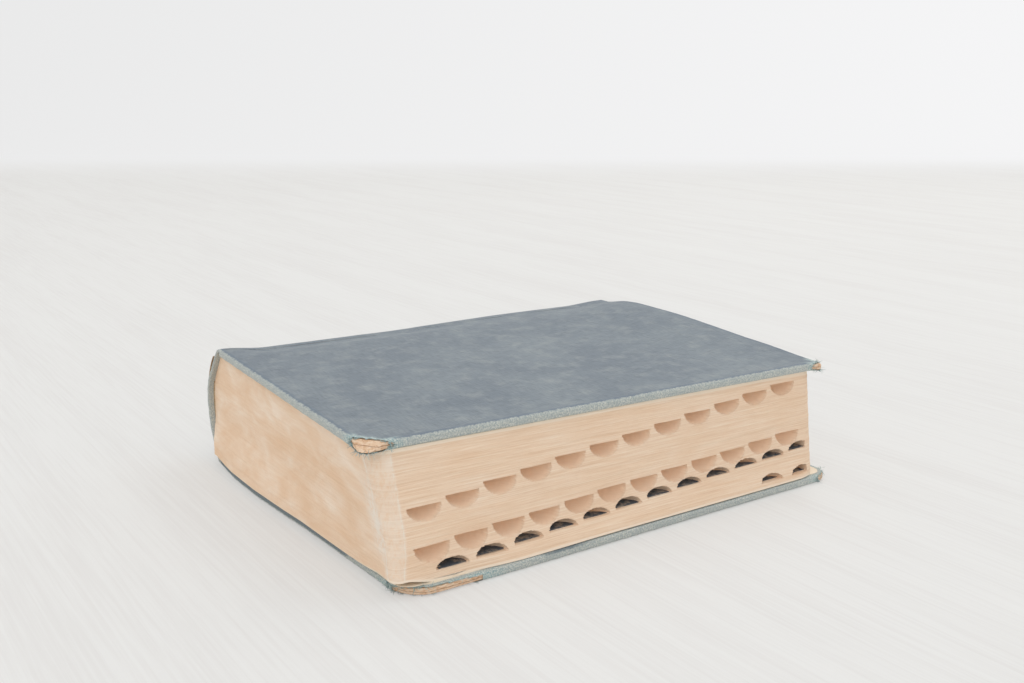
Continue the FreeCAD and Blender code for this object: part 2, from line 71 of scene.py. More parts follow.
@dataclass(frozen=True)
class BookShape:
    """Sizes of the book in mm, and the way it has slumped.

    Book axes: u from the joints to the fore edge, v from tail to head, z up.
    """

    thickness: float = 61.3
    reach: float = 169.4
    setback: float = 11.0
    height: float = 250.0
    cased: float = 3.8
    cover: float = 4.1
    slump_across: float = -18.2
    slump_along: float = 3.3
    turn: float = math.radians(2.8)
    arc_radius: float = 40.0
    arc_across: float = 0.2
    arc_height: float = 25.5
    tail_square: float = 3.0
    head_square: float = 5.0
    fore_square: float = 2.4
    page_corner: float = 8.5
    head_lift: float = 3.0
    head_edge_lift: float = 1.7
    tail_sag: float = 2.7
    head_sag: float = 1.2
    shoulder_droop: float = 4.6
    foot_tuck: float = 0.9
    worn_tail_u: tuple = (-28, -12, 0, 30, 62, 80, 103, 128, 150, 172)
    worn_tail_v: tuple = (0, -1.6, -2.5, -2.5, -0.8, 0.5, 1.2, 2.1, 2.7, 1.2)

    def origin(self) -> tuple[float, float]:
        """Book axis origin in the row frame, in mm, read off the back board."""
        low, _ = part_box("back_board")
        return low[0] / MM + self.setback, low[1] / MM - 0.5

    def leaf(self, u: np.ndarray, v: np.ndarray, z: np.ndarray) -> np.ndarray:
        """Places points of the leaves in the slumped book.

        Args:
            u: Across, in mm.
            v: Along, in mm.
            z: Height, in mm.

        Returns:
            Points in metres, one row each.
        """
        share = z / self.thickness
        return self._placed(u, v, z, share)

    def cover_point(self, side: Side, u: np.ndarray, v: np.ndarray, w: np.ndarray) -> np.ndarray:
        """Places points of a cover, w mm under its outer face.

        Args:
            side: Which cover.
            u: Across, in mm.
            v: Along, in mm.
            w: Depth under the outer face, in mm.

        Returns:
            Points in metres, one row each.
        """
        front = side is Side.FRONT
        share = np.full_like(u, 1.0 if front else 0.0)
        if not front:
            v = v + self.tail_edge(u) * (1 - smooth(v, 0, 22))
        z = self.thickness - w + self.warp(u, v) if front else w
        return self._placed(u, v, z, share)

    def warp(self, u: np.ndarray, v: np.ndarray) -> np.ndarray:
        """How far the old front cover has bent up (head) or down (spine side), in mm.

        Args:
            u: Across, in mm.
            v: Along, in mm.

        Returns:
            Height to add.
        """
        up = self.head_lift * smooth(v, 165, 250) * smooth(u, -14, 24) * (1 - smooth(u, 50, 135))
        edge = smooth(v, 195, 250) * smooth(u, -12, 8) * (1 - smooth(u, 125, 165))
        up = up + self.head_edge_lift * edge
        sag = self.tail_sag - (self.tail_sag - self.head_sag) * smooth(v, 90, 180)
        down = sag * smooth(-u, -7, 10) * smooth(v, 3, 26)
        return up - down * (1 - smooth(v, 222, 246))

    def tail_edge(self, u: np.ndarray) -> np.ndarray:
        """How far the back cover's tail edge is worn or bent in, in mm; negative is out."""
        return np.interp(u, self.worn_tail_u, self.worn_tail_v)

    def spine_point(self, u: np.ndarray, v: np.ndarray, z: np.ndarray) -> np.ndarray:
        """Places points of the spine, whose upright sections are sheared by the slump.

        Args:
            u: Across, in mm.
            v: Along, in mm.
            z: Height, in mm.

        Returns:
            Points in metres, one row each.
        """
        middle = self.arc_across - self.arc_radius / 2
        slide_x = self.slump_across + v * math.sin(self.turn)
        slide_y = self.slump_along - middle * math.sin(self.turn) - v * (1 - math.cos(self.turn))
        x0, y0 = self.origin()
        sag = self.warp(np.minimum(u, -11.0), v) * smooth(z, 44.0, 59.0)
        at_tail = 1 - smooth(v, 0, 24)
        sag = sag - self.shoulder_droop * at_tail * smooth(-u, 13, 28) * smooth(z, 30.0, 55.0)
        low = (1 - smooth(v, 8, 60)) * (1 - smooth(z, 0, 26))
        u = u + self.foot_tuck * low * smooth(-u, 22, 36)
        x = u + z * slide_x / self.thickness + x0
        y = v + z * slide_y / self.thickness + y0
        return np.stack([x, y, z + sag], axis=-1) * MM

    def _placed(self, u: np.ndarray, v: np.ndarray, z: np.ndarray, share: np.ndarray) -> np.ndarray:
        """Turns and slides flat layers by their share of the slump.

        Args:
            u: Across, in mm.
            v: Along, in mm.
            z: Height, in mm.
            share: Share of the slump, 0 at the back cover and 1 at the front one.

        Returns:
            Points in metres, one row each.
        """
        x0, y0 = self.origin()
        cos, sin = np.cos(self.turn * share), np.sin(self.turn * share)
        x = self.slump_across * share + u * cos + v * sin + x0
        y = self.slump_along * share - u * sin + v * cos + y0
        return np.stack([x, y, z + 0 * x], axis=-1) * MM


BOOK = BookShape()


# Numbers


def smooth(value: np.ndarray, low: float, high: float) -> np.ndarray:
    """Smooth step from 0 at low to 1 at high."""
    t = np.clip((value - low) / (high - low), 0.0, 1.0)
    return t * t * (3 - 2 * t)


def lattice(seed: int, size: int = 64) -> np.ndarray:
    """A repeatable block of random numbers between -1 and 1."""
    return np.random.default_rng(seed).uniform(-1, 1, (size, size, size))


LATTICE = lattice(7)


def value_noise(x: np.ndarray, y: np.ndarray, z: np.ndarray = None) -> np.ndarray:
    """Smooth noise between -1 and 1, one lattice step a unit.

    Args:
        x: First coordinate.
        y: Second coordinate.
        z: Third coordinate, or None for 0.

    Returns:
        Noise at each place.
    """
    z = np.zeros_like(x) if z is None else z
    size = LATTICE.shape[0]
    total = np.zeros_like(x, dtype=float)
    base = [np.floor(c).astype(int) for c in (x, y, z)]
    part = [c - b for c, b in zip((x, y, z), base)]
    part = [p * p * (3 - 2 * p) for p in part]
    for corner in range(8):
        step = [(corner >> axis) & 1 for axis in range(3)]
        index = [(b + s) % size for b, s in zip(base, step)]
        weight = 1.0
        for p, s in zip(part, step):
            weight = weight * (p if s else 1 - p)
        total = total + weight * LATTICE[index[0], index[1], index[2]]
    return total


def fractal(x: np.ndarray, y: np.ndarray, z: np.ndarray = None, octaves: int = 3) -> np.ndarray:
    """Value noise summed over octaves.

    Args:
        x: First coordinate.
        y: Second coordinate.
        z: Third coordinate, or None for 0.
        octaves: Number of octaves, each half as strong.

    Returns:
        Noise at each place.
    """
    z = np.zeros_like(x) if z is None else z
    total, gain = 0.0, 0.5
    for octave in range(octaves):
        scale = 2.0 ** octave
        total = total + gain * value_noise(x * scale + 11 * octave, y * scale, z * scale + 5 * octave)
        gain *= 0.5
    return total / (1 - 0.5 ** octaves)


def stations(low: float, high: float, fine_low: float, fine_high: float, fine: float,
             coarse: float) -> np.ndarray:
    """Grid lines that are close together at both ends of a range.

    Args:
        low: First line.
        high: Last line.
        fine_low: Length of the fine part at the low end.
        fine_high: Length of the fine part at the high end.
        fine: Spacing in the fine parts.
        coarse: Spacing between them.

    Returns:
        The lines in order.
    """
    parts = []
    if fine_low > 0:
        parts.append(np.linspace(low, low + fine_low, max(2, round(fine_low / fine)), endpoint=False))
    middle = high - fine_high - low - fine_low
    parts.append(np.linspace(low + fine_low, high - fine_high, max(2, round(middle / coarse)),
                             endpoint=False))
    if fine_high > 0:
        parts.append(np.linspace(high - fine_high, high, max(2, round(fine_high / fine)) + 1))
    else:
        parts.append(np.array([high]))
    return np.concatenate(parts)


# Meshes


def grid_faces(rows: int, columns: int, keep: Optional[np.ndarray] = None,
               flip: bool = False, closed: bool = False) -> np.ndarray:
    """Quads of a grid of points stored row by row.

    Args:
        rows: Number of rows.
        columns: Number of points in a row.
        keep: Points to keep; a face needs all four. None keeps all.
        flip: Turns the faces over.
        closed: Joins the last column to the first.

    Returns:
        Point indices, four a face.
    """
    index = np.arange(rows * columns).reshape(rows, columns)
    if closed:
        index = np.concatenate([index, index[:, :1]], axis=1)
    a, b = index[:-1, :-1], index[:-1, 1:]
    c, d = index[1:, 1:], index[1:, :-1]
    quads = np.stack([a, d, c, b] if flip else [a, b, c, d], axis=-1).reshape(-1, 4)
    if keep is not None:
        quads = quads[keep.reshape(-1)[quads].all(axis=1)]
    return quads


def mesh_piece(name: str, points: np.ndarray, faces: np.ndarray, finish: "Finish",
               values: Optional[dict[str, np.ndarray]] = None,
               flat: Optional[np.ndarray] = None, shade_smooth: bool = True) -> bpy.types.Object:
    """Makes a mesh object from arrays.

    Args:
        name: Name of the object.
        points: Points in metres.
        faces: Point indices, a row a face.
        finish: What it is made of.
        values: Number for each point, by attribute name.
        flat: Flat coordinates of each point in mm, for the UV map.
        shade_smooth: Whether the faces shade smoothly.

    Returns:
        The linked object.
    """
    used = np.unique(faces)
    lookup = np.full(len(points), -1)
    lookup[used] = np.arange(len(used))
    mesh = bpy.data.meshes.new(name)
    mesh.from_pydata(points[used].tolist(), [], lookup[faces].tolist())
    for key, value in (values or {}).items():
        layer = mesh.attributes.new(key, "FLOAT", "POINT")
        layer.data.foreach_set("value", value.reshape(-1)[used].astype(np.float32))
    if flat is not None:
        layer = mesh.uv_layers.new(name="sheet")
        corner = np.empty(len(mesh.loops), dtype=np.int32)
        mesh.loops.foreach_get("vertex_index", corner)
        layer.data.foreach_set("uv", flat[used][corner].reshape(-1).astype(np.float32))
    mesh.polygons.foreach_set("use_smooth", np.full(len(mesh.polygons), shade_smooth))
    mesh.update()
    piece = bpy.data.objects.new(name, mesh)
    bpy.context.scene.collection.objects.link(piece)
    piece.data.materials.append(finish.material())
    return piece


# Materials


class Graph:
    """Builds the node tree of one material."""

    def __init__(self, name: str) -> None:
        """Starts an empty material.

        Args:
            name: Name of the material.
        """
        self.material = bpy.data.materials.new(name)
        self.material.use_nodes = True
        self.tree = self.material.node_tree
        self.tree.nodes.clear()
        self.output = self.tree.nodes.new("ShaderNodeOutputMaterial")

    def node(self, kind: str, inputs: Optional[dict] = None, **settings) -> bpy.types.Node:
        """Adds a node.

        Args:
            kind: Node type after "ShaderNode".
            inputs: Values or sockets by input name or number.
            **settings: Attributes of the node.

        Returns:
            The node.
        """
        made = self.tree.nodes.new("ShaderNode" + kind)
        for key, value in settings.items():
            setattr(made, key, value)
        for key, value in (inputs or {}).items():
            self.feed(made.inputs[key], value)
        return made

    def feed(self, socket: bpy.types.NodeSocket, value: object) -> None:
        """Links a socket, or sets its value.

        Args:
            socket: Socket to feed.
            value: Socket to link, or the value to set.
        """
        if isinstance(value, bpy.types.NodeSocket):
            self.tree.links.new(value, socket)
        elif isinstance(value, (tuple, list)) and socket.type == "RGBA" and len(value) == 3:
            socket.default_value = (*value, 1.0)
        else:
            socket.default_value = value

    def math(self, operation: str, a: object, b: object = 0.0, c: object = 0.0,
             clamp: bool = False) -> bpy.types.NodeSocket:
        """Result of a math node.

        Args:
            operation: Operation of the node.
            a: First value or socket.
            b: Second value or socket.
            c: Third value or socket.
            clamp: Clamps to 0 and 1.

        Returns:
            The result.
        """
        made = self.node("Math", {0: a, 1: b, 2: c}, operation=operation, use_clamp=clamp)
        return made.outputs[0]

    def smooth(self, value: object, low: float, high: float) -> bpy.types.NodeSocket:
        """Smooth step of a value, 0 at low and 1 at high.

        Args:
            value: Value or socket.
            low: Value for 0.
            high: Value for 1.

        Returns:
            The step.
        """
        made = self.node("MapRange", {"Value": value, "From Min": low, "From Max": high},
                         interpolation_type="SMOOTHSTEP")
        return made.outputs["Result"]

    def value(self, attribute: str) -> bpy.types.NodeSocket:
        """Number stored on the mesh."""
        return self.node("Attribute", attribute_name=attribute).outputs["Fac"]

    def sheet(self, stretch: Sequence[float] = (1.0, 1.0, 1.0), turn: float = 0.0) -> bpy.types.NodeSocket:
        """Flat coordinates of the sheet in mm, scaled."""
        return self.mapped(self.node("UVMap", uv_map="sheet").outputs[0], stretch, turn)

    def place(self, stretch: Sequence[float] = (1.0, 1.0, 1.0), turn: float = 0.0) -> bpy.types.NodeSocket:
        """Object coordinates in mm, scaled."""
        scale = [s / MM for s in stretch]
        return self.mapped(self.node("TexCoord").outputs["Object"], scale, turn)

    def mapped(self, source: bpy.types.NodeSocket, scale: Sequence[float],
               turn: float) -> bpy.types.NodeSocket:
        """Coordinates scaled, then turned about Z."""
        made = self.node("Mapping", {"Vector": source, "Scale": scale, "Rotation": (0, 0, turn)})
        return made.outputs[0]

    def noise(self, vector: object, scale: float, detail: float = 3.0, rough: float = 0.55,
              distortion: float = 0.0) -> bpy.types.NodeSocket:
        """Noise between 0 and 1.

        Args:
            vector: Coordinates.
            scale: Scale of the noise.
            detail: Number of octaves.
            rough: Strength of each octave against the one before.
            distortion: Distortion.

        Returns:
            The noise.
        """
        made = self.node("TexNoise", {"Vector": vector, "Scale": scale, "Detail": detail,
                                      "Roughness": rough, "Distortion": distortion})
        return made.outputs["Fac"]

    def ramp(self, value: object, stops: Iterable[tuple[float, Sequence[float]]]) -> bpy.types.NodeSocket:
        """Colour from a value, through stops of (position, sRGB colour).

        Args:
            value: Value or socket.
            stops: Positions and colours, in order.

        Returns:
            The colour.
        """
        made = self.node("ValToRGB", {"Fac": value})
        elements = made.color_ramp.elements
        for index, (position, colour) in enumerate(stops):
            element = elements[index] if index < 2 else elements.new(position)
            element.position = position
            element.color = (*linear(colour), 1.0)
        return made.outputs["Color"]

    def mix(self, factor: object, a: object, b: object, blend: str = "MIX") -> bpy.types.NodeSocket:
        """Mix of two colours; plain tuples are sRGB.

        Args:
            factor: Share of the second colour.
            a: First colour.
            b: Second colour.
            blend: Blend mode.

        Returns:
            The mixed colour.
        """
        a = linear(a) if isinstance(a, tuple) else a
        b = linear(b) if isinstance(b, tuple) else b
        made = self.node("Mix", {0: factor, 6: a, 7: b}, data_type="RGBA", blend_type=blend)
        return made.outputs[2]

    def over(self, tone: object, colour: object, mask: object, strength: float) -> bpy.types.NodeSocket:
        """A colour laid over the tone where the mask is 1, at the given strength."""
        return self.mix(self.math("MULTIPLY", mask, strength), tone, colour)

    def bump(self, height: object, depth_mm: float, strength: float = 1.0) -> bpy.types.NodeSocket:
        """Normal bumped by a height between 0 and 1 that stands for depth_mm.

        Args:
            height: Height, from 0 to 1.
            depth_mm: Depth that a height of 1 stands for.
            strength: Strength of the bump.

        Returns:
            The bumped normal.
        """
        inputs = {"Height": height, "Distance": depth_mm * MM, "Strength": strength}
        return self.node("Bump", inputs).outputs[0]

    def surface(self, colour: object, roughness: object, normal: Optional[object] = None,
                **constants: float) -> bpy.types.Material:
        """Finishes the material with one Principled shader.

        Args:
            colour: Base colour.
            roughness: Roughness.
            normal: Bumped normal.
            **constants: Other inputs by name, with _ for spaces.

        Returns:
            The material.
        """
        inputs = {"Base Color": colour, "Roughness": roughness}
        if normal is not None:
            inputs["Normal"] = normal
        shader = self.node("BsdfPrincipled", inputs)
        for key, value in constants.items():
            shader.inputs[key.replace("_", " ")].default_value = value
        self.tree.links.new(shader.outputs[0], self.output.inputs["Surface"])
        return self.material

    def seen_as(self, colour: object, share: object) -> None:
        """Shows a share of a fixed colour to rays from the camera, straight or by a mirror or glass.

        Args:
            colour: The fixed colour.
            share: Its share, from 0 to 1.
        """
        rays = self.node("LightPath").outputs
        seen = self.math("MAXIMUM", rays["Is Camera Ray"], rays["Is Glossy Ray"])
        seen = self.math("MAXIMUM", seen, rays["Is Transmission Ray"])
        glow = self.node("Emission", {"Color": colour}).outputs[0]
        surface = self.output.inputs["Surface"]
        paint = surface.links[0].from_socket
        both = self.node("MixShader", {0: self.math("MULTIPLY", seen, share), 1: paint, 2: glow})
        self.tree.links.new(both.outputs[0], surface)


def linear(colour: Sequence[float]) -> tuple[float, ...]:
    """Linear value of an sRGB colour given from 0 to 255."""
    shares = [c / 255 for c in colour]
    return tuple(s / 12.92 if s <= 0.04045 else ((s + 0.055) / 1.055) ** 2.4 for s in shares)


@dataclass(frozen=True)
class Finish:
    """What a piece is made of. Each subclass draws its own material."""

    name: str
    slot: str

    def material(self) -> bpy.types.Material:
        """The material, made once."""
        name = self.name + "_finish"
        known = bpy.data.materials.get(name)
        return known if known else self.draw(Graph(name))

    def draw(self, graph: Graph) -> bpy.types.Material:
        """Builds the node tree.

        Args:
            graph: Graph of the new material.

        Returns:
            The material.
        """
        raise NotImplementedError


@dataclass(frozen=True)
class ClothFinish(Finish):
    """Faded linen book cloth, rubbed pale along edges.

    Reads the attributes edge_mm (distance past the edge of the face, negative on the face),
    fray_mm (distance from a hole's rim) and navy (cloth left dark blue and less rubbed, with painted shade
    where the leaves overhang the back cover's edges).
    """

    base: tuple = (135, 144, 149)
    dark: tuple = (120, 130, 138)
    faded: tuple = (154, 160, 160)
    worn: tuple = (214, 214, 202)
    worn_dark: tuple = (158, 168, 167)
    # Dark blue of less rubbed cloth, also laid on as painted shade under the overhanging leaves.
    navy_and_shade: tuple = (88, 104, 112)
    # Darker blue for a line on the face just inside the rubbed edge.
    edge_line: tuple = (88, 104, 122)
    thread_dark: tuple = (120, 160, 164)
    thread_pale: tuple = (210, 214, 204)
    thread_mm: float = 0.55

    def draw(self, graph: Graph) -> bpy.types.Material:
        """Builds the node tree.

        Args:
            graph: Graph of the new material.

        Returns:
            The material.
        """
        flat = graph.sheet()
        per_thread = 1 / self.thread_mm
        warp = graph.noise(graph.sheet((per_thread, per_thread * 0.07, 1)), 1.0, 2.0, 0.6)
        weft = graph.noise(graph.sheet((per_thread * 0.07, per_thread, 1)), 1.0, 2.0, 0.6)
        weave = graph.math("MULTIPLY", graph.math("ADD", warp, weft), 0.5)
        cloud = graph.noise(flat, 0.022, 4.0, 0.6, 0.6)
        blotch = graph.noise(flat, 0.09, 4.0, 0.6)
        tone = graph.mix(graph.smooth(cloud, 0.35, 0.68), self.dark, self.base)
        tone = graph.over(tone, self.faded, graph.smooth(blotch, 0.45, 0.72), 0.6)
        shade = graph.ramp(weave, [(0.36, (205, 208, 212)), (0.5, (238, 239, 240)),
                                   (0.66, (255, 255, 255))])
        tone = graph.mix(1.0, tone, shade, "MULTIPLY")
        edge = graph.value("edge_mm")
        wander = graph.math("MULTIPLY_ADD", graph.noise(flat, 0.55, 3.0, 0.65), 3.4, -1.7)
        reach = graph.math("ADD", edge, wander)
        # A darker blue line on the face, just inside the rubbed edge.
        edge_line = graph.math("SUBTRACT", graph.smooth(reach, -2.6, -1.2), graph.smooth(reach, -0.9, 0.1))
        tone = graph.over(tone, self.edge_line, edge_line, 0.55)
        rub = graph.smooth(reach, -0.9, 0.5)
        speckle = graph.noise(flat, 1.3, 3.0, 0.68)
        speckle = graph.smooth(speckle, 0.36, 0.64)
        rubbed = graph.mix(speckle, self.worn_dark, self.worn)
        patch = graph.smooth(graph.noise(flat, 0.16, 3.0, 0.6), 0.40, 0.66)
        rubbed = graph.over(rubbed, self.worn_dark, patch, 0.35)
        tone = graph.over(tone, rubbed, rub, 0.92)
        # Dark blue on the back cover's upper edges: less rubbed cloth plus painted shade under the
        # overhanging leaves.
        navy_and_shade_mask = graph.smooth(graph.math("MULTIPLY_ADD", wander, 0.12, graph.value("navy_and_shade")), 0.3, 0.7)
        tone = graph.over(tone, self.navy_and_shade, navy_and_shade_mask, 0.8)
        fray = graph.math("SUBTRACT", 1.0, graph.smooth(graph.value("fray_mm"), 0.4, 3.0))
        thread = graph.mix(speckle, self.thread_dark, self.thread_pale)
        tone = graph.over(tone, thread, fray, 0.9)
        rough = graph.math("MULTIPLY_ADD", graph.noise(flat, 0.3, 3.0, 0.6), 0.22, 0.66)
        height = graph.math("MULTIPLY_ADD", speckle, graph.math("MULTIPLY", rub, 0.8), weave)
        normal = graph.bump(height, 0.22, 0.8)
        return graph.surface(tone, rough, normal, Sheen_Weight=0.12, Sheen_Roughness=0.5)


@dataclass(frozen=True)
class PageFinish(Finish):
    """Aged leaves seen from their edges.

    Reads the attributes face (0 tail and head, 1 fore edge), chalk (pale bruised paper with painted
    highlights along the near corner's ridges), pale (endpapers) and cut (inside a thumb cut, where painted
    light lifts the shade).
    """

    light: tuple = (242, 222, 198)
    tan: tuple = (232, 202, 172)
    deep: tuple = (218, 182, 149)
    end_light: tuple = (246, 227, 206)
    end_tan: tuple = (238, 209, 180)
    end_deep: tuple = (232, 196, 161)
    seam: tuple = (176, 138, 106)
    gleam: tuple = (246, 230, 210)
    # Painted light: a pale tone that lifts the shade inside the thumb cuts.
    cut_painted_light: tuple = (246, 217, 188)
    # Pale bruised paper, also used as painted highlight on the near corner's ridges.
    bruise_and_highlight: tuple = (240, 232, 220)
    endpaper: tuple = (245, 228, 206)

    def draw(self, graph: Graph) -> bpy.types.Material:
        """Builds the node tree.

        Args:
            graph: Graph of the new material.

        Returns:
            The material.
        """
        leaves = graph.noise(graph.place((0.012, 0.012, 1.0)), 2.6, 4.0, 0.7, 0.25)
        fine = graph.noise(graph.place((0.02, 0.02, 1.0)), 9.0, 2.0, 0.7)
        mottle = graph.noise(graph.place((1.0, 1.0, 2.2)), 0.035, 4.0, 0.6, 0.5)
        tone = graph.ramp(leaves, [(0.30, self.deep), (0.50, self.tan), (0.68, self.light)])
        line = graph.smooth(fine, 0.60, 0.72)
        tone = graph.over(tone, self.seam, line, 0.30)
        gleam = graph.smooth(graph.math("SUBTRACT", 1.0, fine), 0.58, 0.72)
        tone = graph.over(tone, self.gleam, gleam, 0.35)
        flat_tone = graph.ramp(mottle, [(0.36, self.end_deep), (0.52, self.end_tan), (0.70, self.end_light)])
        face = graph.value("face")
        share = graph.math("MULTIPLY_ADD", face, 0.55, 0.25)
        tone = graph.mix(share, flat_tone, tone)
        # Painted light lifts the shade inside the thumb cuts.
        tone = graph.over(tone, self.cut_painted_light, graph.value("cut"), 0.7)
        # Pale lines round the near corner: bruised paper plus painted highlights on its ridges.
        chalk_and_highlight = graph.value("chalk_and_highlight")
        grain = graph.noise(graph.place((0.5, 0.5, 0.25)), 1.4, 3.0, 0.7)
        chalk_and_highlight = graph.math("MULTIPLY", chalk_and_highlight, graph.smooth(grain, 0.25, 0.6))
        tone = graph.over(tone, self.bruise_and_highlight, chalk_and_highlight, 0.85)
        tone = graph.over(tone, self.endpaper, graph.value("pale"), 0.8)
        height = graph.math("ADD", leaves, graph.math("MULTIPLY", fine, 0.6))
        rough = graph.math("MULTIPLY_ADD", mottle, 0.2, 0.72)
        return graph.surface(tone, rough, graph.bump(height, 0.16, 0.8))


@dataclass(frozen=True)
class PaperFinish(Finish):
    """Flat sheet of aged paper with fibres and foxing."""

    tone: tuple = (240, 226, 204)
    stain: tuple = (228, 208, 180)
    foxing: tuple = (190, 150, 110)
    fibre: tuple = (255, 250, 240)

    def draw(self, graph: Graph) -> bpy.types.Material:
        """Builds the node tree.

        Args:
            graph: Graph of the new material.

        Returns:
            The material.
        """
        place = graph.place()
        cloud = graph.noise(place, 0.03, 4.0, 0.6, 0.4)
        spots = graph.smooth(graph.noise(place, 0.35, 2.0, 0.5), 0.66, 0.76)
        fibre = graph.noise(graph.place((1.0, 0.25, 1.0), 0.6), 1.6, 3.0, 0.7)
        tone = graph.mix(graph.smooth(cloud, 0.35, 0.75), self.tone, self.stain)
        tone = graph.over(tone, self.foxing, spots, 0.35)
        tone = graph.over(tone, self.fibre, fibre, 0.15)
        rough = graph.math("MULTIPLY_ADD", fibre, 0.2, 0.7)
        return graph.surface(tone, rough, graph.bump(fibre, 0.05, 0.6))


@dataclass(frozen=True)
class PasteboardFinish(Finish):
    """Layered, fibrous pasteboard laid bare at worn corners. Reads the attribute layer_mm."""

    tone: tuple = (234, 200, 166)
    deep: tuple = (208, 160, 120)
    pale: tuple = (244, 220, 194)
    fibre: tuple = (168, 108, 66)
    split: tuple = (140, 84, 52)
    split_depth: float = 1.75

    def draw(self, graph: Graph) -> bpy.types.Material:
        """Builds the node tree.

        Args:
            graph: Graph of the new material.

        Returns:
            The material.
        """
        place = graph.place()
        layer = graph.value("layer_mm")
        wander = graph.math("MULTIPLY_ADD", graph.noise(place, 0.35, 3.0, 0.6), 0.5, -0.25)
        split = graph.math("SUBTRACT", layer, self.split_depth)
        split = graph.math("ABSOLUTE", graph.math("ADD", split, wander))
        crack = graph.math("SUBTRACT", 1.0, graph.smooth(split, 0.03, 0.16))
        cloud = graph.noise(graph.place((1.0, 1.0, 3.0)), 0.5, 4.0, 0.65)
        fibre = graph.noise(graph.place((1.0, 1.0, 4.0)), 2.4, 4.0, 0.75)
        tone = graph.ramp(cloud, [(0.34, self.deep), (0.5, self.tone), (0.68, self.pale)])
        tone = graph.over(tone, self.fibre, graph.smooth(fibre, 0.5, 0.75), 0.28)
        tone = graph.over(tone, self.split, crack, 0.55)
        height = graph.math("SUBTRACT", fibre, graph.math("MULTIPLY", crack, 0.8))
        return graph.surface(tone, 0.86, graph.bump(height, 0.3, 0.9))


@dataclass(frozen=True)
class TabFinish(Finish):
    """Dark coated paper of the index tabs."""

    tone: tuple = (74, 84, 94)
    rubbed: tuple = (160, 148, 134)
    speck: tuple = (50, 50, 62)

    def draw(self, graph: Graph) -> bpy.types.Material:
        """Builds the node tree.

        Args:
            graph: Graph of the new material.

        Returns:
            The material.
        """
        place = graph.place()
        cloud = graph.noise(place, 0.28, 4.0, 0.65)
        grain = graph.noise(place, 2.2, 3.0, 0.7)
        tone = graph.mix(graph.smooth(cloud, 0.46, 0.66), self.tone, self.rubbed)
        tone = graph.over(tone, self.speck, grain, 0.25)
        rough = graph.math("MULTIPLY_ADD", grain, 0.3, 0.5)
        return graph.surface(tone, rough, graph.bump(grain, 0.06, 0.6))


@dataclass(frozen=True)
class HiddenFinish(Finish):
    """Open-weave lining or plain card inside the spine."""

    tone: tuple = (196, 178, 148)
    deep: tuple = (160, 136, 104)
    thread_mm: float = 0.9

    def draw(self, graph: Graph) -> bpy.types.Material:
        """Builds the node tree.

        Args:
            graph: Graph of the new material.

        Returns:
            The material.
        """
        step = 1 / self.thread_mm
        warp = graph.noise(graph.place((step, step * 0.1, step * 0.1)), 1.0, 2.0)
        weft = graph.noise(graph.place((step * 0.1, step * 0.1, step)), 1.0, 2.0)
        weave = graph.math("MULTIPLY", graph.math("ADD", warp, weft), 0.5)
        tone = graph.mix(graph.smooth(weave, 0.35, 0.65), self.deep, self.tone)
        rough = graph.math("MULTIPLY_ADD", weave, 0.2, 0.7)
        return graph.surface(tone, rough, graph.bump(weave, 0.2, 0.7))


@dataclass(frozen=True)
class FloorFinish(Finish):
    """Nearly white painted wood with faint grain across the view, under a pale backdrop with painted light
    that brightens it to the right.

    Rays from the camera see part of it at its own colour, so that shadows stay as soft as in the
    photo; all other rays see plain paint.
    """

    tone: tuple = (232, 231, 228)
    grain: tuple = (227, 225, 222)
    backdrop: tuple = (233, 233, 233)
    # Painted light: the backdrop is brighter on the right.
    backdrop_lit_right: tuple = (246, 246, 247)
    heading: float = 0.0
    steady: float = 0.5

    def draw(self, graph: Graph) -> bpy.types.Material:
        """Builds the node tree.

        Args:
            graph: Graph of the new material.

        Returns:
            The material.
        """
        streak = graph.noise(graph.place((0.015, 0.6, 1.0), self.heading), 1.0, 4.0, 0.6, 0.3)
        wide = graph.noise(graph.place((0.003, 0.03, 1.0), self.heading), 1.0, 3.0, 0.55)
        both = graph.math("MULTIPLY_ADD", wide, 0.4, graph.math("MULTIPLY", streak, 0.6))
        tone = graph.mix(graph.smooth(both, 0.40, 0.68), self.tone, self.grain)
        material = graph.surface(tone, 0.6, graph.bump(streak, 0.04, 0.4), Specular_IOR_Level=0.2)
        ahead = graph.node("SeparateXYZ", {0: graph.place(turn=self.heading)}).outputs
        wall = graph.smooth(ahead["Y"], 1500.0, 2300.0)
        # Painted light: the backdrop seen by the camera brightens towards the right.
        across = graph.smooth(ahead["X"], -2600.0, 2600.0)
        pale = graph.mix(across, self.backdrop, self.backdrop_lit_right)
        share = graph.math("MULTIPLY_ADD", wall, 1 - self.steady, self.steady)
        graph.seen_as(graph.mix(wall, tone, pale), share)
        return material


CLOTH = ClothFinish("book_cloth", "cover_cloth")
PAGES = PageFinish("page_edges", "page_paper")
ENDPAPER = PaperFinish("endpaper", "end_paper")
BOARD = PasteboardFinish("pasteboard", "pasteboard")
TAB = TabFinish("index_tab", "tab_paper")
LINING = HiddenFinish("spine_mull", "lining_cloth")
INLAY = HiddenFinish("spine_card", "inlay_card", (178, 148, 112), (150, 120, 88), 0.35)


# Covers


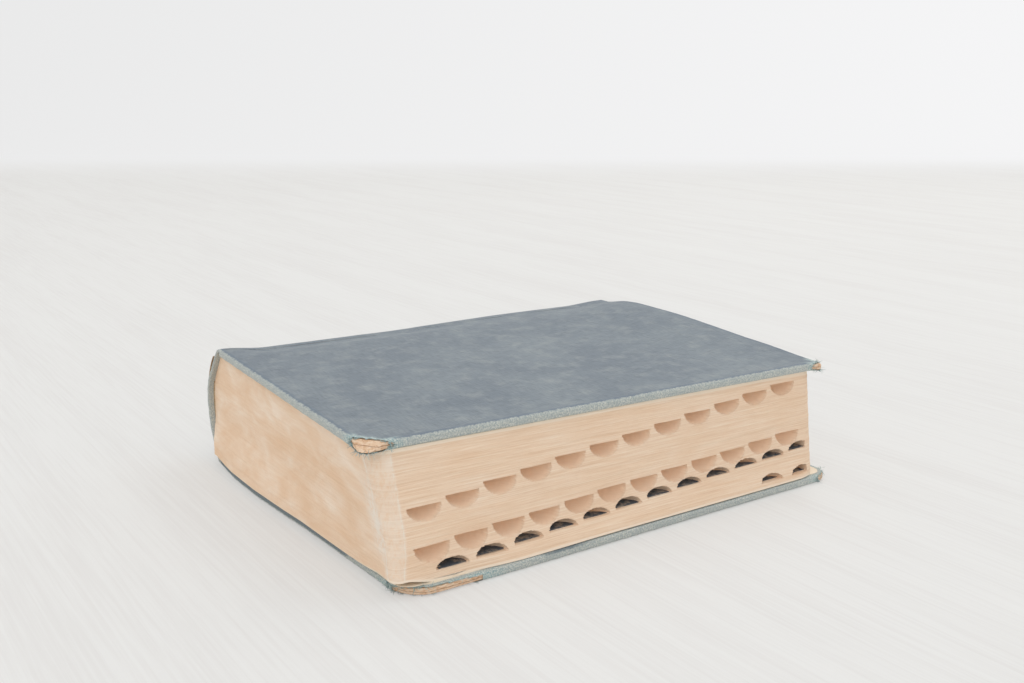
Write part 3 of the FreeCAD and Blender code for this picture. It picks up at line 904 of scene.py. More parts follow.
@dataclass(frozen=True)
class Edge:
    """Section of a sheet wrapped round the edge of a board, in mm."""

    thickness: float
    outer_round: float = 1.3
    inner_round: float = 0.9
    turn_in: float = 14.0

    def length(self) -> float:
        """Length of the wrap, from where the face starts to bend."""
        quarter = math.pi / 2
        wall = self.thickness - self.outer_round - self.inner_round
        return quarter * (self.outer_round + self.inner_round) + wall + self.turn_in

    def bend(self, along: np.ndarray) -> tuple[np.ndarray, np.ndarray]:
        """Position on the wrap.

        Args:
            along: Distance from where the face starts to bend.

        Returns:
            How far out from the board's outline, and how deep under the face.
        """
        quarter = math.pi / 2
        first = quarter * self.outer_round
        wall = self.thickness - self.outer_round - self.inner_round
        last = quarter * self.inner_round
        a = np.clip(along / self.outer_round, 0, quarter)
        b = np.clip(along - first, 0, wall)
        c = np.clip((along - first - wall) / self.inner_round, 0, quarter)
        d = np.clip(along - first - wall - last, 0, None)
        out = self.outer_round * (np.sin(a) - 1) - self.inner_round * (1 - np.cos(c)) - d
        out = out + np.minimum(along, 0)
        depth = self.outer_round * (1 - np.cos(a)) + b + self.inner_round * np.sin(c)
        return out, depth


def threads(name: str, starts: np.ndarray, out: np.ndarray, rng: np.random.Generator,
            lowest: float = 0.0) -> bpy.types.Object:
    """Short frayed threads, each a thin bent tube.

    Args:
        name: Name of the piece.
        starts: Where each thread leaves the cloth, in metres.
        out: Direction away from the cloth there.
        rng: Source of the scatter.
        lowest: Least height of a point in metres, or a negative number for none.

    Returns:
        The piece.
    """
    count, steps, sides = len(starts), 5, 3
    heading = out + rng.normal(0, 0.75, (count, 3))
    heading[:, 2] -= 0.25
    heading /= np.linalg.norm(heading, axis=1, keepdims=True)
    length = rng.uniform(0.6, 2.0, count) * MM
    curl = rng.normal(0, 0.55, (count, 3))
    share = np.linspace(0, 1, steps)
    path = (starts[:, None, :] + heading[:, None, :] * (length[:, None] * share)[:, :, None]
            + curl[:, None, :] * (length[:, None] * share ** 2)[:, :, None])
    side = np.cross(heading, (0.3, 0.2, 1.0))
    side /= np.linalg.norm(side, axis=1, keepdims=True)
    other = np.cross(heading, side)
    turn = np.arange(sides) * 2 * math.pi / sides
    ring = (side[:, None, :] * np.cos(turn)[None, :, None]
            + other[:, None, :] * np.sin(turn)[None, :, None])
    radius = rng.uniform(0.11, 0.20, count)[:, None] * MM * (1 - 0.6 * share)[None, :]
    points = path[:, :, None, :] + ring[:, None, :, :] * radius[:, :, None, None]
    if lowest >= 0:
        points[..., 2] = np.maximum(points[..., 2], lowest)
    block = grid_faces(steps, sides, closed=True)
    faces = (np.arange(count)[:, None, None] * steps * sides + block[None]).reshape(-1, 4)
    flat = np.repeat(rng.uniform(0, 200, (count, 2)), steps * sides, axis=0)
    return mesh_piece(name, points.reshape(-1, 3), faces, CLOTH,
                      {"edge_mm": np.full(len(flat), 2.0), "fray_mm": np.zeros(len(flat))}, flat)


# Worn holes: half height, power of the oval, and where they start and end past the face's edge, in mm.
HOLE_RISE = 2.1
HOLE_POWER = 2.4
HOLE_START = -0.6
HOLE_END = 4.4


@dataclass
class WornCover:
    """Cloth and pasteboard of one cover, with the wear on its fore corners. Lengths in mm.

    The holes are (half length, depth of the middle), the facet is (across, along, slope in
    degrees), and tail_shift moves the tail hole along the edge, towards the head.
    """

    side: Side
    tail_corner: float
    head_corner: float
    start: float
    tail_hole: tuple[float, float]
    head_hole: tuple[float, float]
    facet: tuple[float, float, float] = (0.0, 0.0, 0.0)
    tip: float = 0.0
    tail_shift: float = 0.0
    thread_count: int = 900
    rims: list = field(default_factory=list)

    def build(self) -> list[bpy.types.Object]:
        """Makes the cloth, the board and the loose threads."""
        return [self.cloth(), self.board(), self.fringe()]

    def body(self) -> str:
        """Name of the moving body."""
        return f"{self.side.value}_cover"

    def outline(self, a: np.ndarray, b: np.ndarray, inset: float) -> tuple[np.ndarray, ...]:
        """Nearest place on the cover's outline.

        Args:
            a: Across, in mm.
            b: Along, in mm.
            inset: How far the outline is drawn in.

        Returns:
            Distance outside the outline, and the outline point and outward normal.
        """
        fore, tail, head = BOOK.reach - inset, inset, BOOK.height - inset
        gaps = np.stack([a - fore, tail - b, b - head])
        nearest = gaps.argmax(axis=0)
        distance = gaps.max(axis=0)
        normal_u = np.where(nearest == 0, 1.0, 0.0)
        normal_v = np.where(nearest == 1, -1.0, np.where(nearest == 2, 1.0, 0.0))
        for radius, centre_v, sign in ((self.tail_corner - inset, tail, -1.0),
                                       (self.head_corner - inset, head, 1.0)):
            cu = fore - radius
            cv = centre_v - sign * radius
            du, dv = a - cu, b - cv
            inside = (du > 0) & (dv * sign > 0)
            span = np.maximum(np.hypot(du, dv), 1e-6)
            distance = np.where(inside, span - radius, distance)
            normal_u = np.where(inside, du / span, normal_u)
            normal_v = np.where(inside, dv / span, normal_v)
        return distance, a - distance * normal_u, b - distance * normal_v, normal_u, normal_v

    def facet_depth(self, u: np.ndarray, v: np.ndarray) -> np.ndarray:
        """Depth of the worn facet under the outer face, negative off the facet.

        Args:
            u: Across, in mm.
            v: Along, in mm.

        Returns:
            Depth in mm.
        """
        across, along, slope = self.facet
        if across == 0:
            return np.full_like(u, -99.0)
        size = math.hypot(across, along)
        beyond = ((u - (BOOK.reach - across)) * along - v * across) / size
        return beyond * math.tan(math.radians(slope))

    def splay(self, u: np.ndarray, v: np.ndarray, w: np.ndarray) -> tuple[np.ndarray, np.ndarray]:
        """Spreads the crushed lower edge of the faceted corner, and the head corner's tip.

        Args:
            u: Across, in mm.
            v: Along, in mm.
            w: Depth under the outer face, in mm.

        Returns:
            The moved u and v.
        """
        if self.facet[0]:
            gap = np.hypot(u - (BOOK.reach - 3), v - 3)
            amount = 2.3 * smooth(-gap, -13, -2) * np.clip(w / BOOK.cased, 0, 1) ** 1.3
            u, v = u + amount * 0.8, v - amount * 0.6
        gap = np.hypot(u - BOOK.reach, v - BOOK.height + 1)
        return u + self.tip * smooth(-gap, -8, -0.5), v

    def around(self, grid: dict[str, np.ndarray], at_head: bool) -> np.ndarray:
        """Distance along the outline from the middle of a fore corner, in mm.

        Args:
            grid: Arrays of the wrapped sheet.
            at_head: Whether it is the head corner.

        Returns:
            Distance, negative towards the fore edge.
        """
        radius = self.head_corner if at_head else self.tail_corner
        fore = BOOK.reach - radius
        end = BOOK.height - radius if at_head else radius
        sign = 1.0 if at_head else -1.0
        angle = np.arctan2(grid["n_v"] * sign, grid["n_u"])
        quarter = radius * math.pi / 4
        past_fore = np.where(sign * (grid["q_v"] - end) < 0, sign * (grid["q_v"] - end), 0.0)
        past_end = np.where(grid["q_u"] < fore, fore - grid["q_u"], 0.0)
        return radius * angle - quarter + np.where(angle > 1.5, past_end, past_fore)

    def hole(self, grid: dict[str, np.ndarray], ragged: np.ndarray) -> np.ndarray:
        """How far inside a worn hole each point of the cloth is, in mm; negative outside.

        Args:
            grid: Arrays of the wrapped sheet.
            ragged: Noise that makes the rims ragged.

        Returns:
            Depth inside the hole.
        """
        w, along = grid["w"], grid["along"]
        depth = self.facet_depth(grid["u"], grid["v"]) - w - 0.1 - ragged * 0.7
        for at_head, (half, level), shift in ((False, self.tail_hole, self.tail_shift),
                                              (True, self.head_hole, 0.0)):
            across = (self.around(grid, at_head) + shift) / half
            up = (w - level) / HOLE_RISE
            oval = (np.abs(across) ** HOLE_POWER + np.abs(up) ** HOLE_POWER) ** (1 / HOLE_POWER)
            oval = (1 - oval) * 2.4 + ragged * 0.7
            band = np.minimum(along - HOLE_START, HOLE_END - along) + ragged * 0.7
            depth = np.maximum(depth, np.minimum(oval, band))
        return depth

    def wrapped(self, inset: float, edge: Edge, lift: float, fine: float, coarse: float,
                reach_in: float) -> dict[str, np.ndarray]:
        """Grid of a sheet wrapped round the cover.

        Args:
            inset: How far the outline is drawn in.
            edge: Section at the edge.
            lift: Depth of the sheet's face under the cover's outer face.
            fine: Grid spacing near the edges.
            coarse: Grid spacing elsewhere.
            reach_in: Width of the finely divided border of the face.

        Returns:
            Arrays of the grid, by name.
        """
        over = edge.length() - edge.outer_round
        a = stations(self.start, BOOK.reach - inset + over, 0, over + reach_in, fine, coarse)
        b = stations(inset - over, BOOK.height - inset + over, over + reach_in, over + reach_in,
                     fine, coarse)
        b, a = np.meshgrid(b, a)
        distance, q_u, q_v, n_u, n_v = self.outline(a, b, inset)
        along = distance + edge.outer_round
        out, depth = edge.bend(along)
        off = along > 0
        u = np.where(off, q_u + n_u * out, a)
        v = np.where(off, q_v + n_v * out, b)
        w = np.where(off, depth, 0.0) + lift
        return {"a": a, "b": b, "along": along, "u": u, "v": v, "w": w, "q_u": q_u, "q_v": q_v,
                "n_u": n_u, "n_v": n_v, "keep": along < edge.length() + 0.3}

    def cloth(self) -> bpy.types.Object:
        """Cloth over the board, worn through at the corners.

        Returns:
            The cloth.
        """
        edge = Edge(BOOK.cased)
        grid = self.wrapped(0.0, edge, lift=0.0, fine=0.45, coarse=3.2, reach_in=16.0)
        a, b, u, v, w, along = (grid[key] for key in ("a", "b", "u", "v", "w", "along"))
        ragged = fractal(a * 0.45, b * 0.45, octaves=3)
        facet = self.facet_depth(u, v)
        hole = self.hole(grid, ragged)
        puff = 0.07 * fractal(a * 0.06, b * 0.06) + 0.05 * fractal(a * 0.5, b * 0.5)
        on_edge = smooth(along, -2.0, 1.0)
        rub = on_edge * fractal(a * 0.35, b * 0.35, octaves=2) * 0.22
        w = w - np.where(w < edge.thickness * 0.5, puff, 0.0)
        u = u + grid["n_u"] * rub
        v = v + grid["n_v"] * rub
        w = np.where(facet > 0, np.maximum(w, facet * 0.85), w)
        u, v = self.splay(u, v, w)
        lip = smooth(hole, -1.4, 0.0) * smooth(along, -1.5, 0.5)
        u = u + grid["n_u"] * lip * (0.25 * ragged - 0.35)
        v = v + grid["n_v"] * lip * (0.25 * ragged - 0.35)
        points = BOOK.cover_point(self.side, u.ravel(), v.ravel(), w.ravel())
        self.rims.append(self.rim_points(points, hole, along, u, v, w))
        keep = grid["keep"] & (hole < 0)
        faces = grid_faces(*a.shape, keep, flip=self.side is Side.FRONT)
        # Dark blue mask: less rubbed cloth plus painted shade in the upper part of the back cover's edges,
        # under the overhanging leaves, strongest towards the tail.
        fore_navy_and_shade = smooth(w, 2.7, 3.2) * (1 - 0.75 * smooth(v, 60, 110))
        navy_and_shade = np.where(grid["n_v"] < -0.6, smooth(w, 0.7, 1.5), fore_navy_and_shade) * smooth(along, 1.0, 2.5)
        navy_and_shade = navy_and_shade * (self.side is Side.BACK) * smooth(-hole, 2.5, 6.0)
        piece = mesh_piece(f"{self.side.value}_cover_cloth_sheet", points, faces, CLOTH,
                           {"edge_mm": along - 0.6, "fray_mm": np.clip(-hole, 0, 9) * 1.2, "navy_and_shade": navy_and_shade},
                           np.stack([a.ravel(), b.ravel()], axis=-1))
        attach(piece, self.body())
        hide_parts(f"{self.side.value}_cover_cloth")
        return piece

    def rim_points(self, points: np.ndarray, hole: np.ndarray, along: np.ndarray, u: np.ndarray,
                   v: np.ndarray, w: np.ndarray) -> tuple[np.ndarray, np.ndarray]:
        """Points along the rims of the holes, and the directions out of the cover there.

        Args:
            points: Points of the cloth, in metres.
            hole: Depth inside a hole.
            along: Distance past the edge of the face.
            u: Across, in mm.
            v: Along, in mm.
            w: Depth under the outer face, in mm. Not used.

        Returns:
            Points in metres, and unit directions.
        """
        near = (np.abs(hole + 0.2) < 0.2) & (along > -2.0) & (along < 6.0)
        corner_v = np.where(v < BOOK.height / 2, 16.0, BOOK.height - 10.0)
        out = np.stack([u - (BOOK.reach - 16.0), v - corner_v, 0 * u], axis=-1)[near]
        out = out / np.maximum(np.linalg.norm(out, axis=1, keepdims=True), 1e-6)
        return points.reshape(*hole.shape, 3)[near], out

    def fringe(self) -> bpy.types.Object:
        """Frayed threads round the holes.

        Returns:
            The threads.
        """
        points = np.concatenate([rim[0] for rim in self.rims])
        out = np.concatenate([rim[1] for rim in self.rims])
        rng = np.random.default_rng(11 if self.side is Side.FRONT else 12)
        chosen = rng.choice(len(points), size=min(self.thread_count, len(points)), replace=False)
        piece = threads(f"{self.side.value}_corner_threads", points[chosen], out[chosen], rng,
                        0.0 if self.side is Side.BACK else -1.0)
        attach(piece, self.body())
        return piece

    def board(self) -> bpy.types.Object:
        """Pasteboard, with torn fibres where a corner is bare.

        Returns:
            The board.
        """
        edge = Edge(thickness=2.8, outer_round=0.5, inner_round=0.5, turn_in=14.0)
        grid = self.wrapped(0.5, edge, lift=0.5, fine=0.5, coarse=6.0, reach_in=14.0)
        a, b, u, v, w = (grid[key] for key in ("a", "b", "u", "v", "w"))
        facet = self.facet_depth(u, v)
        torn = fractal(u * 0.9, v * 0.9, w * 2.2, octaves=3)
        w = np.where(facet > w, np.minimum(facet, 3.25), w)
        rim = smooth(grid["along"], -0.5, 0.6) * (grid["along"] < 5)
        u = u + grid["n_u"] * rim * torn * 0.25
        v = v + grid["n_v"] * rim * torn * 0.25
        w = w + np.where(facet > 0.4, torn * 0.16, 0.0)
        u, v = self.splay(u, v, w)
        points = BOOK.cover_point(self.side, u.ravel(), v.ravel(), w.ravel())
        faces = grid_faces(*a.shape, grid["keep"], flip=self.side is Side.FRONT)
        piece = mesh_piece(f"{self.side.value}_board_sheet", points, faces, BOARD, {"layer_mm": w})
        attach(piece, self.body())
        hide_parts(f"{self.side.value}_board")
        return piece


# Leaves


@dataclass(frozen=True)
class ThumbRow:
    """One row of thumb cuts on the fore edge. Lengths in mm; heights are of the cuts' flats."""

    first: float
    last: float
    rise: float
    width: float
    hangs: bool
    middles: tuple[float, ...]

    def depth(self, v: np.ndarray, z: np.ndarray, deepest: float) -> np.ndarray:
        """How far the fore edge is cut back at each point.

        Args:
            v: Along, in mm.
            z: Height, in mm.
            deepest: Depth of a cut in the middle.

        Returns:
            Depth in mm.
        """
        total = np.zeros_like(v)
        heights = np.linspace(self.first, self.last, len(self.middles))
        for middle, flat in zip(self.middles, heights):
            across = (v - middle) / (self.width / 2)
            up = (flat - z if self.hangs else z - flat) / self.rise
            inside = np.clip(1 - across ** 2 - up ** 2, 0, None)
            skew = 1.0 - 0.22 * across
            total = np.maximum(total, np.where(up >= 0, deepest * skew * np.sqrt(inside), 0.0))
        return total


@dataclass
class LeafBlock:
    """The leaves, with their thumb index, uneven edges, and bruised corners with painted highlights."""

    low: float = 4.4
    high: float = 56.9
    layer: float = 0.36
    cut_depth: float = 9.0
    pitch: float = 18.5
    head_taper: float = 4.0
    back_radius: float = 37.9
    corner_heights: tuple = (4, 15, 35, 57)
    corner_radii: tuple = (4.8, 5.8, 7.2, 8.5)
    corner_lift: float = 2.2
    foot_dip: float = 0.35
    tail_overhang: float = 1.6
    fore_slide: float = 2.4
    endpapers: int = 3
    endpaper_corner: float = 15.5

    def rows(self) -> list[ThumbRow]:
        """The thumb cuts, from the top row down.

        Returns:
            One row of cuts each.
        """
        hanging = tuple(20.65 + self.pitch * n for n in range(12))
        standing = tuple(28.05 + self.pitch * n for n in range(12))
        at_foot = (209.25, 230.75)
        return [ThumbRow(first=33.5, last=53.5, rise=6.0, width=15.5, hangs=True, middles=hanging),
                ThumbRow(first=18.0, last=28.6, rise=6.6, width=15.5, hangs=True, middles=hanging),
                ThumbRow(first=8.0, last=19.0, rise=3.6, width=14.5, hangs=False, middles=standing),
                ThumbRow(first=7.0, last=7.0, rise=3.6, width=14.5, hangs=False, middles=at_foot)]

    def corner(self, z: np.ndarray) -> np.ndarray:
        """Radius of the near corner, tighter in the lower leaves."""
        return np.interp(z, self.corner_heights, self.corner_radii)

    def outline(self, z: float, rounding: Optional[float] = None) -> tuple[np.ndarray, ...]:
        """Outline of the leaf at this height.

        Args:
            z: Height in mm.
            rounding: Radius of the near corner, or None for the block's own.

        Returns:
            Across, along, outward normal (two arrays), part number of each point (0 tail, 1 tail
            corner, 2 fore edge, 3 head corner, 4 head, 5 spine) and distance round the outline.
        """
        fore, tail, far = BOOK.reach - BOOK.fore_square, BOOK.tail_square, BOOK.page_corner
        head = BOOK.height - BOOK.head_square + self.head_taper * (z / BOOK.thickness - 0.5)
        back = BOOK.arc_across - math.sqrt(self.back_radius ** 2 - (z - BOOK.arc_height) ** 2)
        near = self.corner(z) if rounding is None else rounding

        def turned(radius: float, middle: float, first: float, last: float,
                   count: int) -> tuple[np.ndarray, ...]:
            """A rounded corner at the fore edge, with its normals."""
            angle = np.linspace(first, last, count, endpoint=False)
            cos, sin = np.cos(angle), np.sin(angle)
            return fore - radius + radius * cos, middle + radius * sin, cos, sin

        tail_u = np.linspace(back, fore - near, 80, endpoint=False)
        fore_v = np.linspace(tail + near, head - far, 400, endpoint=False)
        head_u = np.linspace(fore - far, back, 60, endpoint=False)
        back_v = np.linspace(head, tail, 4, endpoint=False)
        parts = [(tail_u, np.full_like(tail_u, tail), 0 * tail_u, 0 * tail_u - 1),
                 turned(near, tail + near, -math.pi / 2, 0, 26),
                 (np.full_like(fore_v, fore), fore_v, 0 * fore_v + 1, 0 * fore_v),
                 turned(far, head - far, 0, math.pi / 2, 12),
                 (head_u, np.full_like(head_u, head), 0 * head_u, 0 * head_u + 1),
                 (np.full_like(back_v, back), back_v, 0 * back_v - 1, 0 * back_v)]
        part = np.concatenate([np.full(len(p[0]), n) for n, p in enumerate(parts)])
        u, v, n_u, n_v = (np.concatenate([p[n] for p in parts]) for n in range(4))
        steps = np.hypot(np.diff(u, append=u[0]), np.diff(v, append=v[0]))
        return u, v, n_u, n_v, part, np.cumsum(steps) - steps

    def build(self) -> list[bpy.types.Object]:
        """Makes the block and its loose endpapers."""
        return [self.block(), self.loose()]

    def block(self) -> bpy.types.Object:
        """Makes the block in place of the CAD solid.

        Returns:
            The block.
        """
        count = round((self.high - self.low) / self.layer) + 1
        heights = np.linspace(self.low, self.high, count)
        grids = [np.array(column) for column in zip(*(self.outline(z) for z in heights))]
        u, v, n_u, n_v, part, run = grids
        z = np.repeat(heights[:, None], u.shape[1], axis=1)
        shown = part < 5
        uneven = 0.16 * fractal(run * 0.02, z * 1.4) + 0.14 * fractal(run * 0.008 + 9, z * 0.45)
        uneven = np.where(shown, uneven - 0.05, 0.0)
        cut = np.zeros_like(u)
        for row in self.rows():
            cut = np.maximum(cut, row.depth(v, z, self.cut_depth))
        cut = np.where(part == 2, cut, 0.0)
        bed = (z - self.low) / (self.high - self.low)
        wave = 0.45 * fractal(run * 0.03 + 3, z * 0.05) * smooth(bed, 0.0, 0.12) * smooth(-bed, -1.0, -0.9)
        lift = self.curl(u, v) * (1 - smooth(z, self.low, 15.0))
        z_out = z + wave * shown * (cut < 0.01) + lift * shown
        shift = uneven - cut
        at_u = u + n_u * shift + self.slide(u, v, z)
        at_v = v + n_v * shift - self.spread(u, v, z)
        points = BOOK.leaf(at_u.ravel(), at_v.ravel(), z_out.ravel())
        faces = grid_faces(*u.shape, closed=True)
        piece = mesh_piece("leaves", points, faces, PAGES, self.marks(u, v, z, part, cut))
        self.close(piece, u.shape)
        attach(piece, "book_block")
        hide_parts("text_block")
        return piece

    def curl(self, u: np.ndarray, v: np.ndarray) -> np.ndarray:
        """How far the bottom leaves have curled up off the back cover, in mm.

        Args:
            u: Across, in mm.
            v: Along, in mm.

        Returns:
            Height to add.
        """
        fore = BOOK.reach - BOOK.fore_square
        dip = smooth(v, 14, 30) * (1 - smooth(v, 60, 110))
        along = self.corner_lift * (1 - smooth(v, 8, 19)) - self.foot_dip * dip
        across = np.exp(-(np.maximum(fore - 8 - u, 0) / 16) ** 1.6)
        return along * across

    def spread(self, u: np.ndarray, v: np.ndarray, z: np.ndarray) -> np.ndarray:
        """How far the lowest leaves have slid out over the cover's tail edge, in mm.

        Args:
            u: Across, in mm.
            v: Along, in mm.
            z: Height, in mm.

        Returns:
            Distance towards the tail.
        """
        out = BOOK.tail_square + self.tail_overhang - BOOK.tail_edge(u)
        fade = (1 - smooth(z, self.low - 4, 26.0)) * (1 - smooth(v, 3, 30))
        return np.maximum(out, 0) * fade * 1.05

    def slide(self, u: np.ndarray, v: np.ndarray, z: np.ndarray) -> np.ndarray:
        """How far the lowest leaves have slid out to the cover's fore edge, in mm.

        Args:
            u: Across, in mm.
            v: Along, in mm.
            z: Height, in mm.

        Returns:
            Distance towards the fore edge.
        """
        along = smooth(v, 26, 62) * (1 - smooth(v, 228, 243))
        return self.fore_slide * along * (1 - smooth(z, self.low, 16.0)) * smooth(u, 120, 160)

    def loose(self) -> bpy.types.Object:
        """Wavy endpapers that fill the gap under the curled leaves.

        Returns:
            The endpapers, as one piece.
        """
        u, v, n_u, n_v, part, run = self.outline(self.low, self.endpaper_corner)
        corner = run[part == 1]
        border = (part <= 2) & (run > corner[0] - 60) & (run < corner[-1] + 22)
        u, v, n_u, n_v, part, run = (c[border][::2] for c in (u, v, n_u, n_v, part, run))
        inward = np.array([0.0, 0.0, 6.0, 14.0, 24.0])
        gap = np.maximum(self.curl(u, v), 0)
        drawn_in = 0.9 * (part == 1) + BOOK.tail_edge(u) * (1 - smooth(v, 0, 22)) * 0.6
        points, faces, pale = [], [], []
        for leaf in range(self.endpapers):
            share = (leaf + 0.5) / self.endpapers
            reach = 0.5 * fractal(run * 0.05, run * 0 + leaf * 3.1) - 0.35 + 0.25 * share
            ripple = 0.30 * fractal(run * 0.09 + leaf * 7, run * 0 + leaf) * np.clip(gap, 0, 1)
            upper = BOOK.cover + 0.32 + gap * share + ripple
            rings = []
            for n, depth in enumerate(inward):
                z = np.maximum(upper - (0.26 if n == 0 else 0.0), BOOK.cover + 0.05)
                shift = reach - depth
                rings.append(BOOK.leaf(u + n_u * shift, v + n_v * shift + drawn_in, z))
            base = sum(len(block) for block in points)
            points.append(np.stack(rings).reshape(-1, 3))
            faces.append(grid_faces(len(inward), len(u)) + base)
            pale.append(np.full(len(inward) * len(u), 0.75 + 0.25 * (leaf % 2)))
        pale = np.concatenate(pale)
        zero = np.zeros_like(pale)
        piece = mesh_piece("loose_endpapers", np.concatenate(points), np.concatenate(faces), PAGES,
                           {"face": zero + 1, "chalk_and_highlight": zero, "pale": pale, "cut": zero})
        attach(piece, "book_block")
        return piece

    def marks(self, u: np.ndarray, v: np.ndarray, z: np.ndarray, part: np.ndarray,
              cut: np.ndarray) -> dict[str, np.ndarray]:
        """Masks of the leaves' finish.

        Args:
            u: Across, in mm.
            v: Along, in mm.
            z: Height, in mm.
            part: Part number of each point.
            cut: Depth of the thumb cut there.

        Returns:
            Number for each point, by attribute name.
        """
        rounding = self.corner(z)
        bend = BOOK.reach - BOOK.fore_square - rounding
        wobble = fractal(z * 0.12, z * 0 + 4.5)
        # Pale lines where the leaves turn round the near corner, and a paler corner: bruised paper plus
        # painted highlights on the ridges.
        on_tail = np.clip(1 - np.abs(u - bend - 0.3) / (1.1 + 0.5 * wobble), 0, 1)
        height = (z - self.low) / (self.high - self.low)
        broad_bruise_and_highlight = np.clip(1 - np.abs(u - bend + 3) / 9, 0, 1) * smooth(height, 0.05, 0.35)
        broad_bruise_and_highlight = broad_bruise_and_highlight * (1 - smooth(height, 0.55, 0.95)) * 0.9
        on_fore = np.clip(1 - np.abs(v - BOOK.tail_square - rounding) / 0.9, 0, 1) * 0.75
        chalk_and_highlight = np.where(part <= 1, np.maximum(on_tail, broad_bruise_and_highlight), 0.0)
        chalk_and_highlight = np.maximum(chalk_and_highlight, np.where((part == 1) | (part == 2), on_fore, 0.0))
        chalk_and_highlight = np.maximum(chalk_and_highlight, (part == 1) * 0.38)
        ends = self.low + np.where(part >= 1, 0.9, 0.5 * smooth(u, 120, 155))
        top = smooth(z, self.high - 1.3, self.high - 0.9)
        pale = np.maximum(1 - smooth(z, ends - 0.3, ends + 0.3), top)
        # Mask of the painted light inside the thumb cuts, full where a cut is 1.5 mm deep.
        rim = np.clip(cut, 0, 1.5) / 1.5
        face = np.where(part == 1, 0.4, (part >= 2) * (part <= 3) * 1.0)
        return {"face": face, "chalk_and_highlight": chalk_and_highlight, "pale": pale, "cut": rim}

    def close(self, piece: bpy.types.Object, shape: tuple[int, int]) -> None:
        """Adds the top and bottom faces.

        Args:
            piece: The block.
            shape: Rows and columns of its points.
        """
        rows, columns = shape
        mesh = bmesh.new()
        mesh.from_mesh(piece.data)
        mesh.verts.ensure_lookup_table()
        last = (rows - 1) * columns
        mesh.faces.new([mesh.verts[n] for n in reversed(range(columns))])
        mesh.faces.new([mesh.verts[last + n] for n in range(columns)])
        mesh.to_mesh(piece.data)
        mesh.free()
        piece.data.set_sharp_from_angle(angle=math.radians(40))


# Spine


